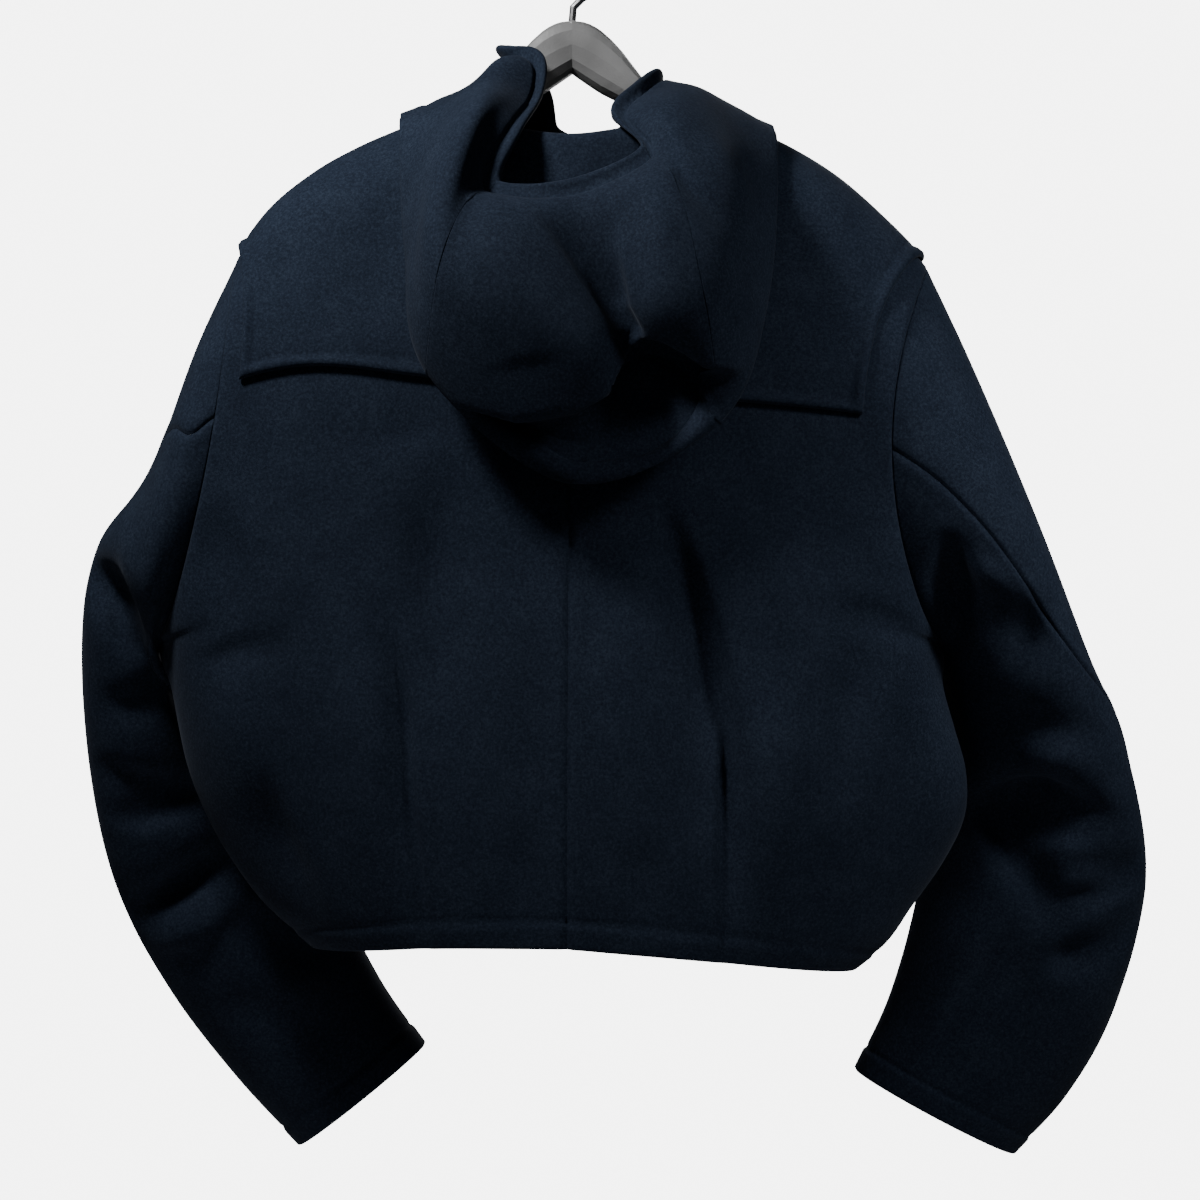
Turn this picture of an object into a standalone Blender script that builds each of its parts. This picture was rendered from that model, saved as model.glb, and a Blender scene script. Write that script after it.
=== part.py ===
"""Cropped duffle coat of thick wool, hanging by its shoulders on a broad plastic hanger, with its hood down.

+X is the wearer's right, +Y the way the wearer faces and +Z up. The origin is the inside top of the hook.
Tables and lengths are in millimetres, and MM turns them into Blender's metres.
"""

import math
from collections import namedtuple

import bmesh
import bpy
import numpy as np

MM = 0.001
CLOTH = 2.6  # wall of the wool
SEAM = 0.4  # gap where two pieces meet
LAYER = CLOTH + SEAM  # from one layer's outer face to the next one's
BEVEL = 1.6  # how far the inner face stops short of the outer one at every edge
WELT_WIDTH, WELT_RISE = 7.0, 2.2  # turned edge of the yoke and the hood
LEFT, RIGHT = -1, 1
BACK, FRONT = -1, 1

# Body: distance of the side seams from the middle, at each height.
Side = namedtuple("Side", "z left right")
SIDES = [
    Side(-703, 158, 191),
    Side(-688, 175, 210),
    Side(-660, 207, 231),
    Side(-630, 230, 252),
    Side(-600, 247, 266),
    Side(-570, 259, 267),
    Side(-540, 266, 259),
    Side(-510, 271, 250),
    Side(-481, 274, 243),
]
# Depth of the body at its middle, behind and in front of the hanger, and how square its section is.
Depth = namedtuple("Depth", "z back front square")
DEPTHS = [
    Depth(-700, 86, 82, 2.2),
    Depth(-640, 92, 86, 2.2),
    Depth(-560, 93, 86, 2.3),
    Depth(-480, 89, 84, 2.4),
    Depth(-400, 85, 80, 2.5),
    Depth(-300, 80, 75, 2.5),
    Depth(-220, 72, 70, 2.5),
    Depth(-120, 64, 66, 2.5),
]
# Shoulder ridge, in steps outwards from the neck.
Ridge = namedtuple("Ridge", "step left_x left_z right_x right_z")
SHOULDERS = [
    Ridge(0.0, 90, -127, 90, -126),
    Ridge(0.2, 117, -138, 120, -137),
    Ridge(0.4, 144, -150, 150, -151.5),
    Ridge(0.6, 172, -166, 180, -171),
    Ridge(0.8, 201, -190, 211, -199),
    Ridge(1.0, 226, -224, 240, -229),
]
NECK_SHARE = 0.40  # share of the panel's width that the neckline takes
NECKS = {BACK: (-166, 62), FRONT: (-163, 60)}  # height and depth of the neckline at its middle
MIDDLE_X = -3  # centre seam at the hem
HEM_MIDDLE = -680
Hem = namedtuple("Hem", "step left right")
HEMS = [Hem(0.0, HEM_MIDDLE, HEM_MIDDLE), Hem(0.5, -681, -690), Hem(1.0, -688, -703)]
ARMPIT_SHARE = 0.36  # share of the panel's height below the armpit
RIDGE_SHARE = 0.62  # share of the panel's height where it starts to round over the shoulder
# How the armhole's depth spreads into the panel: from which height, over what rise, and as what power of the
# panel's width.
ARM_DEPTH, ARM_LOW, ARM_RISE, ARM_REACH = 64, -650, 250, 9
# How far each front runs past the middle, over what width the upper one rises, and its clearance.
FRONT_LAP, LAP_EASE, LAP_CLEAR = 32, 60, 0.6

# Sleeves: rings from the outer to the inner edge. y is the ring's middle, bow its pull towards the body,
# and twist how far its inner edge lies in front of its outer one.
Ring = namedtuple("Ring", "outer_x outer_z inner_x inner_z y half_depth bow twist")
SLEEVES = {
    LEFT: [
        Ring(-226, -224, -274, -481, 0, 72, 14, 0),
        Ring(-252, -280, -280, -489, 2, 73, 8, 1),
        Ring(-284, -364, -282, -501, 9, 71, 3, 6),
        Ring(-323, -416, -268, -517, 29, 63, 0, 18),
        Ring(-337, -481, -240, -532, 54, 55, 0, 28),
        Ring(-335, -577, -222, -587, 76, 50, 0, 28),
        Ring(-320, -660, -198, -631, 92, 46, 0, 20),
        Ring(-287, -732, -169, -674, 105, 43, 0, 10),
        Ring(-243, -795, -137, -733, 115, 41, 0, 4),
        Ring(-198, -847, -108, -775, 122, 40, 0, 0),
    ],
    RIGHT: [
        Ring(240, -229, 243, -481, 0, 72, 32, 0),
        Ring(274, -305, 249.5, -489, 1, 73, 16, 8),
        Ring(315, -404, 251, -501, 9, 71, 5, 18),
        Ring(351, -491, 250, -534, 29, 64, 0, 22),
        Ring(379, -551, 252, -579, 48, 58, 0, 22),
        Ring(398, -645, 248, -636, 64, 54, 0, 20),
        Ring(380, -738, 238, -689, 75, 49, 0, 12),
        Ring(350, -801, 222, -742, 84, 45, 0, 6),
        Ring(313, -847, 201, -788, 92, 42, 0, 0),
    ],
}
# The armhole is narrower at its bottom, and the sleeve loses this by a ring.
ARMHOLE_PEAR, ARMHOLE_RINGS = 0.1, 4
# How far a sleeve lies off the body's side, right under the arm and this far below it.
PIT_CLEAR, SIDE_CLEAR, PIT_REACH = 2.5, 6, 40
SIDE_EASE, SIDE_SQUARE = 70, 1.3  # the height over which it is moved off, and how square the side is there
FOLD_TURN = 1.6  # how soon a fold ends where the sleeve turns away from the back
# Seams of each two-piece sleeve, in degrees round it from its outer edge by way of the back.
SleeveSeam = namedtuple("SleeveSeam", "ring back front")
SLEEVE_SEAMS = {
    LEFT: [
        SleeveSeam(0, 81, 236),
        SleeveSeam(1, 67, 231),
        SleeveSeam(1.9, 16, 226),
        SleeveSeam(2.6, -8, 222),
        SleeveSeam(5, -14, 205),
        SleeveSeam(9, -14, 195),
    ],
    RIGHT: [
        SleeveSeam(0, 90, 236),
        SleeveSeam(1.4, 78, 231),
        SleeveSeam(2.6, 54, 226),
        SleeveSeam(3.6, 12, 222),
        SleeveSeam(4.4, -12, 218),
        SleeveSeam(8, -18, 195),
    ],
}
# Folds sunk into the backs of the sleeves, each a line with a width to either side of it.
Fold = namedtuple("Fold", "x z end_x end_z width depth")
SLEEVE_FOLDS = {
    LEFT: [
        Fold(-322, -434, -290, -474, 20, 13),
        Fold(-262, -590, -300, -606, 16, 8),
        Fold(-300, -668, -228, -640, 16, 8),
    ],
    RIGHT: [
        Fold(246, -446, 296, -472, 22, 9),
        Fold(296, -590, 376, -640, 17, 14),
        Fold(300, -604, 330, -668, 15, 9),
        Fold(345, -700, 384, -676, 15, 8),
    ],
}

# Yoke: height of its bottom edge across the panel, and its side edge as a share of the panel's width.
YokeBottom = namedtuple("YokeBottom", "u left right")
YOKE_BOTTOM = [
    YokeBottom(0, -318, -318),
    YokeBottom(0.4, -309, -323),
    YokeBottom(0.75, -302, -329),
    YokeBottom(1, -313, -335),
]
YokeSide = namedtuple("YokeSide", "v left right")
YOKE_SIDE = [YokeSide(0.68, 0.925, 0.905), YokeSide(0.84, 0.945, 0.93), YokeSide(1, 0.985, 0.985)]
YOKE_EASE = 0.03

# Hood: ribs from the left of the throat round the back to the right of it. neck is the rib's place on the
# neckline in degrees from the middle of the back. Then come the turn at the bag's bottom, the bulge and the
# crown of its outer side, and the rim.
Rib = namedtuple(
    "Rib",
    "neck turn_x turn_y turn_z bulge_x bulge_y bulge_z crown_x crown_y crown_z rim_x rim_y rim_z",
)
HOOD = [
    Rib(-172, 3, 67, -146, 5, 68, -140, 8, 68, -134, 10, 67, -128),
    Rib(-145, -38, 66, -138, -34, 67, -131, -22, 67, -126, -9, 62, -127),
    Rib(-118, -84, 40, -124, -70, 38, -114, -44, 35, -104, -16, 30, -101),
    Rib(-100, -104, 16, -120, -84, 14, -111, -62, 12, -103.5, -42, 9, -80),
    Rib(-86, -111, -8, -127, -88, -12, -114.5, -62, -13, -106, -42, -10, -80),
    Rib(-76, -114, -30, -131, -70, -34, -113.5, -47, -35, -91, -18, -28, -92),
    Rib(-66, -114, -52, -150, -86, -58, -132, -52, -58, -110, -20, -46, -122),
    Rib(-50, -108, -90, -226, -88, -116, -178, -58, -106, -140, -34, -87, -154),
    Rib(-32, -92, -112, -310, -82, -152, -250, -64, -138, -200, -45, -106, -189),
    Rib(0, 0, -118, -382, 2, -156, -296, 0, -142, -214, 0, -116, -187),
    Rib(32, 96, -114, -342, 84, -156, -268, 66, -136, -188, 45, -102, -165),
    Rib(54, 128, -92, -262, 106, -118, -196, 66, -96, -140, 26, -64, -136),
    Rib(74, 137, -50, -158, 108, -55, -136, 80, -46, -114, 40, -39, -114),
    Rib(92, 131, -6, -133, 108, -10, -120, 80, -12, -108.5, 53, -10, -99),
    Rib(115, 104, 38, -128, 90, 38, -118, 70, 34, -108, 50, 28, -109),
    Rib(145, 52, 64, -138, 48, 66, -131, 40, 67, -126, 31, 62, -128),
    Rib(172, 19, 67, -146, 17, 68, -140, 15, 68, -134, 12, 67, -128),
]
HOOD_SEAMS = (8.0, 10.0)  # ribs where the side pieces meet the centre strip
HOOD_STAND = 4.6  # from the neckline up to the hood's edge
ROLL_OUT, ROLL_UP = 11, 7  # how the hood rises from the neck before it falls back
ROLL_SIDES = 0.15  # share of that rise left at the sides
FALL_CLEAR = 9.5  # the hood's fall lies this far off the back
# Valley between the two lobes of the hood's outer side, from the rim down.
Valley = namedtuple("Valley", "x z width depth")
HOOD_VALLEY = [
    Valley(2, -196, 30, 2),
    Valley(8, -222, 26, 9),
    Valley(18, -252, 19, 17),
    Valley(34, -284, 15, 27),
    Valley(54, -318, 24, 33),
    Valley(52, -352, 34, 22),
]

# Hanger, outwards from its middle.
Arm = namedtuple("Arm", "x top bottom half_depth")
HANGER = [
    Arm(0, -61, -96.5, 13),
    Arm(10, -62.5, -103.5, 13.5),
    Arm(20, -68, -110, 14),
    Arm(34, -82, -117, 15),
    Arm(55, -109.5, -132, 16),
    Arm(75, -127, -147, 16),
    Arm(90, -137, -157, 17),
    Arm(130, -154, -174, 18),
    Arm(170, -176, -195, 18),
    Arm(195, -194, -212, 17),
    Arm(206, -207, -222, 13),
]
HANGER_SQUARE = 2.8
HOOK_WIRE, HOOK_BEND = 2.7, 22  # radii of the wire and of the inside of its bend

# Fastenings: toggles with cord loops on leather tabs, the top one on the yoke.
Fastening = namedtuple("Fastening", "z on_yoke")
FASTENINGS = [Fastening(-236, True), Fastening(-386, False), Fastening(-520, False)]
TOGGLE_X, TOGGLE_STAND = -4, 12.2  # the toggle's axis: across the fronts, and out from the cloth
TOGGLE_LENGTH, TOGGLE_RADIUS, TOGGLE_WAIST = 46, 6.5, 4.4
# Half a toggle's outline: the radius at each distance from its middle.
Turned = namedtuple("Turned", "radius up")
TOGGLE_PROFILE = [
    Turned(TOGGLE_WAIST, 5.5),
    Turned(TOGGLE_RADIUS, 9),
    Turned(TOGGLE_RADIUS, TOGGLE_LENGTH / 2 - 9),
    Turned(4.6, TOGGLE_LENGTH / 2 - 2.5),
    Turned(2.2, TOGGLE_LENGTH / 2),
]
CORD_RADIUS = 1.8
CORD_LOW = CORD_RADIUS + 0.8  # height of a cord's middle over the cloth
CORD_APART, LOOP_APART = 4.2, 6.2  # half the distance between the two cords of a side, at its tab
CORD_CLOSE, CROSS_HIGH = 2.6, 7.0  # the same beside the toggle, and the cord's height over the loop
CROSS_AT, LOOP_END = 17, 8  # where the cord crosses the loop and where the loop ends, from the toggle
LOOP_STEP = 9  # reach of the loop's rise over the edge of the upper front
TAB_X, TAB_WIDTH, TAB_HEIGHT, TAB_THICK, TAB_CLEAR = 66, 28, 34, 1.8, 0.9

# How finely each piece is divided.
LOW_UP = np.array([0, 0.07, 0.15, 0.23, 0.3, 0.36, 0.4, 0.46, 0.53, 0.6])  # rows below the yoke
HIGH_UP = np.array([0.8, 0.86, 0.91, 0.955, 0.985, 1])  # rows above the yoke's turned edge
ACROSS = np.array([0, 0.13, 0.26, NECK_SHARE, 0.54, 0.67, 0.78])  # columns inside the yoke's side edge
LAP_STEPS = np.array([-1, -0.5])
WELT_STEPS = np.array([0, 0.3, 0.7, 1.05])
WELT_UP, WELT_ACROSS, WELT_RIB = WELT_WIDTH / 500, WELT_WIDTH / 230, WELT_WIDTH / 42
SLEEVE_RINGS, TOP_STEPS, UNDER_STEPS = 24, 9, 8
HOOD_UP = np.array([0, 0.5, 1, 1.5, 2, 2.4, 2.7, 3, 3.25, 3.5, 3.75, 4, 4.3, 4.6, 5, 5.5])
HOOD_SIDE_STEPS, HOOD_CENTRE_STEPS = 12, 10
RIB_SPACING, SLEEVE_RADIUS = 26, 60
HANGER_STEPS = np.array([0, 4, 8, 12, 16, 20, 27, 34, 45, 55, 72, 90, 130, 170, 195, 203, 206])
HANGER_SIDES = 14
CORD_STEP = 3.2  # cord radii between its rings
TOGGLE_SIDES = 12
SHARP = math.radians(40)
WELD = 1e-7
NORMAL_STEP = 1e-3
NEWTON_STEPS = 8

MATERIALS = {
    "wool": ((0.012, 0.018, 0.035), 0.95, 0.0),
    "hanger_plastic": ((0.18, 0.18, 0.18), 0.45, 0.0),
    "hook_metal": ((0.75, 0.75, 0.76), 0.22, 1.0),
    "toggle_horn": ((0.045, 0.028, 0.018), 0.35, 0.0),
    "cord": ((0.015, 0.018, 0.028), 0.85, 0.0),
    "leather": ((0.014, 0.013, 0.014), 0.5, 0.0),
}


def clear_scene():
    for obj in list(bpy.data.objects):
        bpy.data.objects.remove(obj)


def make_materials():
    made = {}
    for name, (colour, roughness, metallic) in MATERIALS.items():
        material = bpy.data.materials.new(name)
        material.use_nodes = True
        shader = material.node_tree.nodes["Principled BSDF"]
        shader.inputs["Base Color"].default_value = (*colour, 1)
        shader.inputs["Roughness"].default_value = roughness
        shader.inputs["Metallic"].default_value = metallic
        made[name] = material
    return made


def curve(keys, values, at):
    """Smooth curve through the values at the keys, with three-point slopes."""
    keys = np.asarray(keys, float)
    values = np.asarray(values, float).reshape(len(keys), -1)
    at = np.clip(np.asarray(at, float), keys[0], keys[-1])
    step = np.diff(keys)[:, None]
    rise = np.diff(values, axis=0) / step
    middle = (rise[:-1] * step[1:] + rise[1:] * step[:-1]) / (step[1:] + step[:-1])
    slope = np.concatenate([rise[:1], middle, rise[-1:]])
    i = np.clip(np.searchsorted(keys, at, side="right") - 1, 0, len(keys) - 2)
    h = step[i]
    t = ((at - keys[i]) / h[..., 0])[..., None]
    start = values[i] * (1 + 2 * t) * (1 - t) ** 2 + slope[i] * h * t * (1 - t) ** 2
    end = values[i + 1] * t**2 * (3 - 2 * t) + slope[i + 1] * h * t**2 * (t - 1)
    return start + end


def column(table, key, name, at):
    """One named column of a table, read at values of its key column."""
    return curve([getattr(row, key) for row in table], [getattr(row, name) for row in table], at)[..., 0]


def lerp(a, b, t):
    return a + (b - a) * t


def smooth(t):
    t = np.clip(t, 0, 1)
    return t * t * (3 - 2 * t)


def name_of(side):
    return "left" if side == LEFT else "right"


def fold_depth(points, folds):
    """How far straight folds, seen from behind, sink a surface at each point."""
    x, z = points[..., 0], points[..., 2]
    total = np.zeros_like(x)
    for fold in folds:
        run_x, run_z = fold.end_x - fold.x, fold.end_z - fold.z
        share = ((x - fold.x) * run_x + (z - fold.z) * run_z) / (run_x**2 + run_z**2)
        near = np.clip(share, 0, 1)
        away = np.hypot(x - fold.x - near * run_x, z - fold.z - near * run_z)
        total += fold.depth * np.exp(-((away / fold.width) ** 2))
    return total


def ring_point(side, ring, angle):
    """Outer face of a sleeve, for a ring number and an angle from its outer edge by way of the back."""
    table = SLEEVES[side]
    ring, angle = np.broadcast_arrays(np.asarray(ring, float), np.asarray(angle, float))
    o_x, o_z, i_x, i_z, y, half, bow, twist = np.moveaxis(curve(range(len(table)), table, ring), -1, 0)
    across_x, across_z = (o_x - i_x) / 2, (o_z - i_z) / 2
    pull = bow * np.sin(angle) ** 2 / np.hypot(across_x, across_z)
    x = (o_x + i_x) / 2 + across_x * np.cos(angle) - side * across_z * pull
    z = (o_z + i_z) / 2 + across_z * np.cos(angle) + side * across_x * pull
    pear = 1 + ARMHOLE_PEAR * np.maximum(1 - ring / ARMHOLE_RINGS, 0) * np.cos(angle)
    return np.stack([x, y - half * pear * np.sin(angle) - twist * np.cos(angle), z], axis=-1)


def sleeve_point(side, ring, angle):
    """Outer face of a sleeve with its folds, kept off the body's side."""
    points = ring_point(side, ring, angle)
    ring, angle = np.broadcast_arrays(np.asarray(ring, float), np.asarray(angle, float))
    sunk = fold_depth(points, SLEEVE_FOLDS[side]) * smooth(np.sin(angle) * FOLD_TURN) * smooth(ring)
    points = points + np.stack([0 * sunk, sunk, 0 * sunk], axis=-1)
    x, y, z = np.moveaxis(points, -1, 0)
    reach = column(SIDES, "z", name_of(side), z)
    square = column(DEPTHS, "z", "square", z) + SIDE_SQUARE * smooth((z - ARM_LOW) / ARM_RISE)
    depth = np.where(y < 0, column(DEPTHS, "z", "back", z), column(DEPTHS, "z", "front", z))
    body = reach * np.maximum(1 - (np.abs(y) / depth) ** square, 0) ** (1 / square)
    below = SLEEVES[side][0].inner_z - z
    clear = lerp(PIT_CLEAR, SIDE_CLEAR, smooth(below / PIT_REACH))
    short = body + clear - side * x
    push = 0.5 * (short + np.sqrt(short**2 + clear**2)) * smooth(ring * 2)
    push *= smooth((below + SIDE_EASE) / SIDE_EASE) * (body > 0)
    return points + np.stack([side * push, 0 * x, 0 * x], axis=-1)


def side_edge(side, face, v):
    """Outer edge of a body panel: the side seam, then the armhole."""
    bottom = SLEEVES[side][0].inner_z
    share = np.clip((v - ARMPIT_SHARE) / (1 - ARMPIT_SHARE), 0, 1)
    armhole = ring_point(side, 0, math.pi + face * math.pi * share)
    z = lerp(getattr(HEMS[-1], name_of(side)), bottom, np.clip(v / ARMPIT_SHARE, 0, 1))
    x = side * column(SIDES, "z", name_of(side), z)
    seam = np.stack([x, np.zeros_like(x), z], axis=-1)
    return np.where((v > ARMPIT_SHARE)[..., None], armhole, seam)


def top_edge(side, face, u):
    """Top edge of a body panel: the neckline, then the shoulder ridge."""
    turn = np.clip(u / NECK_SHARE, 0, 1) * math.pi / 2
    out = np.clip((u - NECK_SHARE) / (1 - NECK_SHARE), 0, 1)
    ridge_x = column(SHOULDERS, "step", name_of(side) + "_x", out)
    ridge_z = column(SHOULDERS, "step", name_of(side) + "_z", out)
    neck_z, depth = NECKS[face]
    x = side * ridge_x * np.sin(turn)
    z = lerp(neck_z, ridge_z, np.sin(turn) ** 2)
    y = face * depth * np.cos(turn)
    return np.stack([x, y, z], axis=-1)


def body_point(side, face, u, v):
    """Outer face of a body panel: u runs from its middle to its side, v from the hem to the shoulder."""
    u, v = np.broadcast_arrays(np.asarray(u, float), np.asarray(v, float))
    across = np.abs(u)
    edge, top = side_edge(side, face, v), top_edge(side, face, across)
    tip = top_edge(side, face, np.array(1.0))
    hem_z = column(HEMS, "step", name_of(side), across)
    hem_side = getattr(HEMS[-1], name_of(side))
    neck_z = NECKS[face][0]
    x = across * edge[..., 0] + v * (top[..., 0] - across * tip[0])
    z = lerp(lerp(HEM_MIDDLE, neck_z, v), edge[..., 2], across)
    z += (1 - v) * (hem_z - lerp(HEM_MIDDLE, hem_side, across))
    z += v * (top[..., 2] - lerp(neck_z, tip[2], across))
    depth = column(DEPTHS, "z", "back" if face == BACK else "front", z)
    square = column(DEPTHS, "z", "square", z)
    bulge = np.maximum(1 - across**square, 0) ** (1 / square)
    over = np.clip((v - RIDGE_SHARE) / (1 - RIDGE_SHARE), 0, 1)
    fall = np.sqrt(1 - over**2)
    below_ridge = np.sin(math.pi / 2 * np.clip((1 - v) / ARMPIT_SHARE, 0, 1))
    inner_arm = ARM_DEPTH * smooth((z - ARM_LOW) / ARM_RISE) * below_ridge
    arm = lerp(inner_arm, np.abs(edge[..., 1]), across**ARM_REACH)
    y = arm + (depth - arm) * bulge * fall + np.abs(top[..., 1]) * (1 - fall)
    x = np.where(u < 0, -x, x) + MIDDLE_X * (1 - across) * (1 - v)
    return np.stack([x, face * y, z], axis=-1)


def height_share(side, face, u, z):
    """v of the body panel's point at a given u and height, by Newton steps."""
    v = (np.asarray(z, float) - HEM_MIDDLE) / (NECKS[face][0] - HEM_MIDDLE) + 0 * np.asarray(u, float)
    step = NORMAL_STEP
    for _ in range(NEWTON_STEPS):
        here = body_point(side, face, u, v)[..., 2]
        v = np.clip(v + (z - here) * step / (body_point(side, face, u, v + step)[..., 2] - here), 0, 1 - step)
    return v


def body_over(side, face, x, z):
    """u and v of the body panel's point at a given x and height, by Newton steps."""
    u = np.abs(np.asarray(x, float)) / SIDES[-1].right
    v = (np.asarray(z, float) - HEM_MIDDLE) / (NECKS[face][0] - HEM_MIDDLE)
    step = NORMAL_STEP
    for _ in range(NEWTON_STEPS):
        here = body_point(side, face, u, v)
        by_u = (body_point(side, face, u + step, v) - here) / step
        by_v = (body_point(side, face, u, v + step) - here) / step
        miss_x, miss_z = x - here[..., 0], z - here[..., 2]
        scale = by_u[..., 0] * by_v[..., 2] - by_v[..., 0] * by_u[..., 2]
        u = np.clip(u + (miss_x * by_v[..., 2] - miss_z * by_v[..., 0]) / scale, 0, 1 - step)
        v = np.clip(v + (miss_z * by_u[..., 0] - miss_x * by_u[..., 2]) / scale, 0, 1 - step)
    return u, v


def lap_share(side, v):
    """Share of the panel's width that the front's lap takes past the middle."""
    tip = abs(top_edge(side, FRONT, np.array(1.0))[0])
    neck_rate = math.pi / 2 * SHOULDERS[0].left_x / NECK_SHARE
    return FRONT_LAP / (np.abs(side_edge(side, FRONT, v)[..., 0]) + v * (neck_rate - tip))


def yoke_bottom(side, face, u):
    """v of the yoke's bottom edge."""
    return height_share(side, face, u, column(YOKE_BOTTOM, "u", name_of(side), np.abs(u)))


def front_point(side, step, v):
    """Outer face of a front, whose negative steps cross its lap. The left front lies over the right one."""
    step, v = np.broadcast_arrays(np.asarray(step, float), np.asarray(v, float))
    points = body_point(side, FRONT, np.where(step < 0, step * lap_share(side, v), step), v)
    if side == RIGHT:
        return points
    across = smooth((points[..., 0] + FRONT_LAP + LAP_EASE) / LAP_EASE)
    low = yoke_bottom(RIGHT, FRONT, np.array(0.0))
    on_yoke = smooth((v - low + 2 * YOKE_EASE) / YOKE_EASE)
    lift = across * (LAYER + LAP_CLEAR + on_yoke * (LAYER + WELT_RISE))
    return points + np.stack([0 * v, lift, 0 * v], axis=-1)


def neck_point(angle):
    """Neckline, for angles in degrees from the middle of the back, negative to the left."""
    angle = np.asarray(angle, float)
    behind = np.abs(angle) <= 90
    share = np.where(behind, np.abs(angle), 180 - np.abs(angle)) / 90 * NECK_SHARE
    corners = {(s, f): top_edge(s, f, share) for s in (LEFT, RIGHT) for f in (BACK, FRONT)}
    left = np.where(behind[..., None], corners[LEFT, BACK], corners[LEFT, FRONT])
    right = np.where(behind[..., None], corners[RIGHT, BACK], corners[RIGHT, FRONT])
    return np.where((angle < 0)[..., None], left, right) + [0, 0, HOOD_STAND]


def hood_controls():
    """Each rib's points: neck seam, roll, fall, turn, bulge, crown and rim."""
    rows = np.array(HOOD, float)
    angle = np.radians(rows[:, 0])
    neck = neck_point(rows[:, 0])
    turn, bulge, crown, rim = (rows[:, k : k + 3] for k in (1, 4, 7, 10))
    rise = ROLL_UP * lerp(np.cos(angle) ** 2, 1, ROLL_SIDES)
    outwards = np.stack([np.sin(angle) * ROLL_OUT, -np.cos(angle) * ROLL_OUT, rise], axis=-1)
    behind = smooth((math.radians(150) - np.abs(angle)) / math.radians(50))[:, None]
    roll = lerp(lerp(neck, turn, 1 / 3), neck + outwards, behind)
    fall = lerp(roll, turn, 0.5)
    for place, low in zip(fall, turn):
        if low[1] < NECKS[BACK][1] * -0.7:
            side = LEFT if place[0] < 0 else RIGHT
            on_back = body_point(side, BACK, *body_over(side, BACK, place[0], place[2]))
            place[1] = min(place[1], on_back[1] - FALL_CLEAR)
    return np.stack([neck, roll, fall, turn, bulge, crown, rim], axis=1)


CONTROLS = {}


def hood_point(rib, step):
    """Outer face of the hood, for a rib number and a step from the neck seam (0) to the rim (6)."""
    if "hood" not in CONTROLS:
        CONTROLS["hood"] = hood_controls()
    controls = CONTROLS["hood"]
    rib, step = np.broadcast_arrays(np.asarray(rib, float), np.asarray(step, float))
    places = curve(range(len(controls)), controls.reshape(len(controls), -1), rib).reshape(*rib.shape, -1, 3)
    last = controls.shape[1] - 1
    ahead = 2 * places[..., :1, :] - places[..., 1:2, :]
    beyond = 2 * places[..., -1:, :] - places[..., -2:-1, :]
    places = np.concatenate([ahead, places, beyond], axis=-2)
    first = np.clip(np.floor(step).astype(int), 0, last - 1)
    t = (step - first)[..., None]
    four = [np.take_along_axis(places, (first + k)[..., None, None], axis=-2)[..., 0, :] for k in range(4)]
    before, start, end, after = four
    points = start * (1 + 2 * t) * (1 - t) ** 2 + (end - before) / 2 * t * (1 - t) ** 2
    points = points + end * t**2 * (3 - 2 * t) + (after - start) / 2 * t**2 * (t - 1)
    sunk = valley_depth(points) * smooth((step - 3.1) / 0.7)
    return points + np.stack([0 * sunk, sunk, 0 * sunk], axis=-1)


def valley_depth(points):
    """How far the valley between the hood's lobes sinks its outer side at each point."""
    along = np.linspace(HOOD_VALLEY[0].z, HOOD_VALLEY[-1].z, 25)[::-1]
    table = HOOD_VALLEY[::-1]
    lines = {name: column(table, "z", name, along) for name in ("x", "width", "depth")}
    x, z = points[..., 0, None], points[..., 2, None]
    away = np.hypot(x - lines["x"], z - along)
    return np.max(lines["depth"] * np.exp(-((away / lines["width"]) ** 2)), axis=-1)


def normals_of(surface, a, b, face=None):
    """Points of a surface on a grid and its unit normals, which leave by the face at the grid's middle."""
    step = NORMAL_STEP
    along_a = surface(np.minimum(a + step, a.max()), b) - surface(np.maximum(a - step, a.min()), b)
    along_b = surface(a, np.minimum(b + step, b.max())) - surface(a, np.maximum(b - step, b.min()))
    normals = np.cross(along_a, along_b)
    normals /= np.maximum(np.linalg.norm(normals, axis=-1, keepdims=True), 1e-12)
    if face is not None:
        rows, columns = a.shape
        normals = normals * np.sign(face * normals[rows // 2, columns // 2, 1])
    return surface(a, b), normals


def grid_faces(rows, columns):
    """Two triangles for each cell of a grid."""
    index = np.arange(rows * columns).reshape(rows, columns)
    low, high = index[:-1], index[1:]
    first = np.stack([low[:, :-1], high[:, :-1], high[:, 1:]], axis=-1)
    second = np.stack([low[:, :-1], high[:, 1:], low[:, 1:]], axis=-1)
    return np.concatenate([first.reshape(-1, 3), second.reshape(-1, 3)])


def tube_faces(rows, sides):
    """Faces round a stack of rings, with both ends closed."""
    index = np.arange(rows * sides).reshape(rows, sides)
    following = np.roll(index, -1, axis=1)
    walls = np.stack([index[:-1], following[:-1], following[1:], index[1:]], axis=-1).reshape(-1, 4)
    return [tuple(face) for face in walls] + [tuple(index[0][::-1]), tuple(index[-1])]


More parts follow.
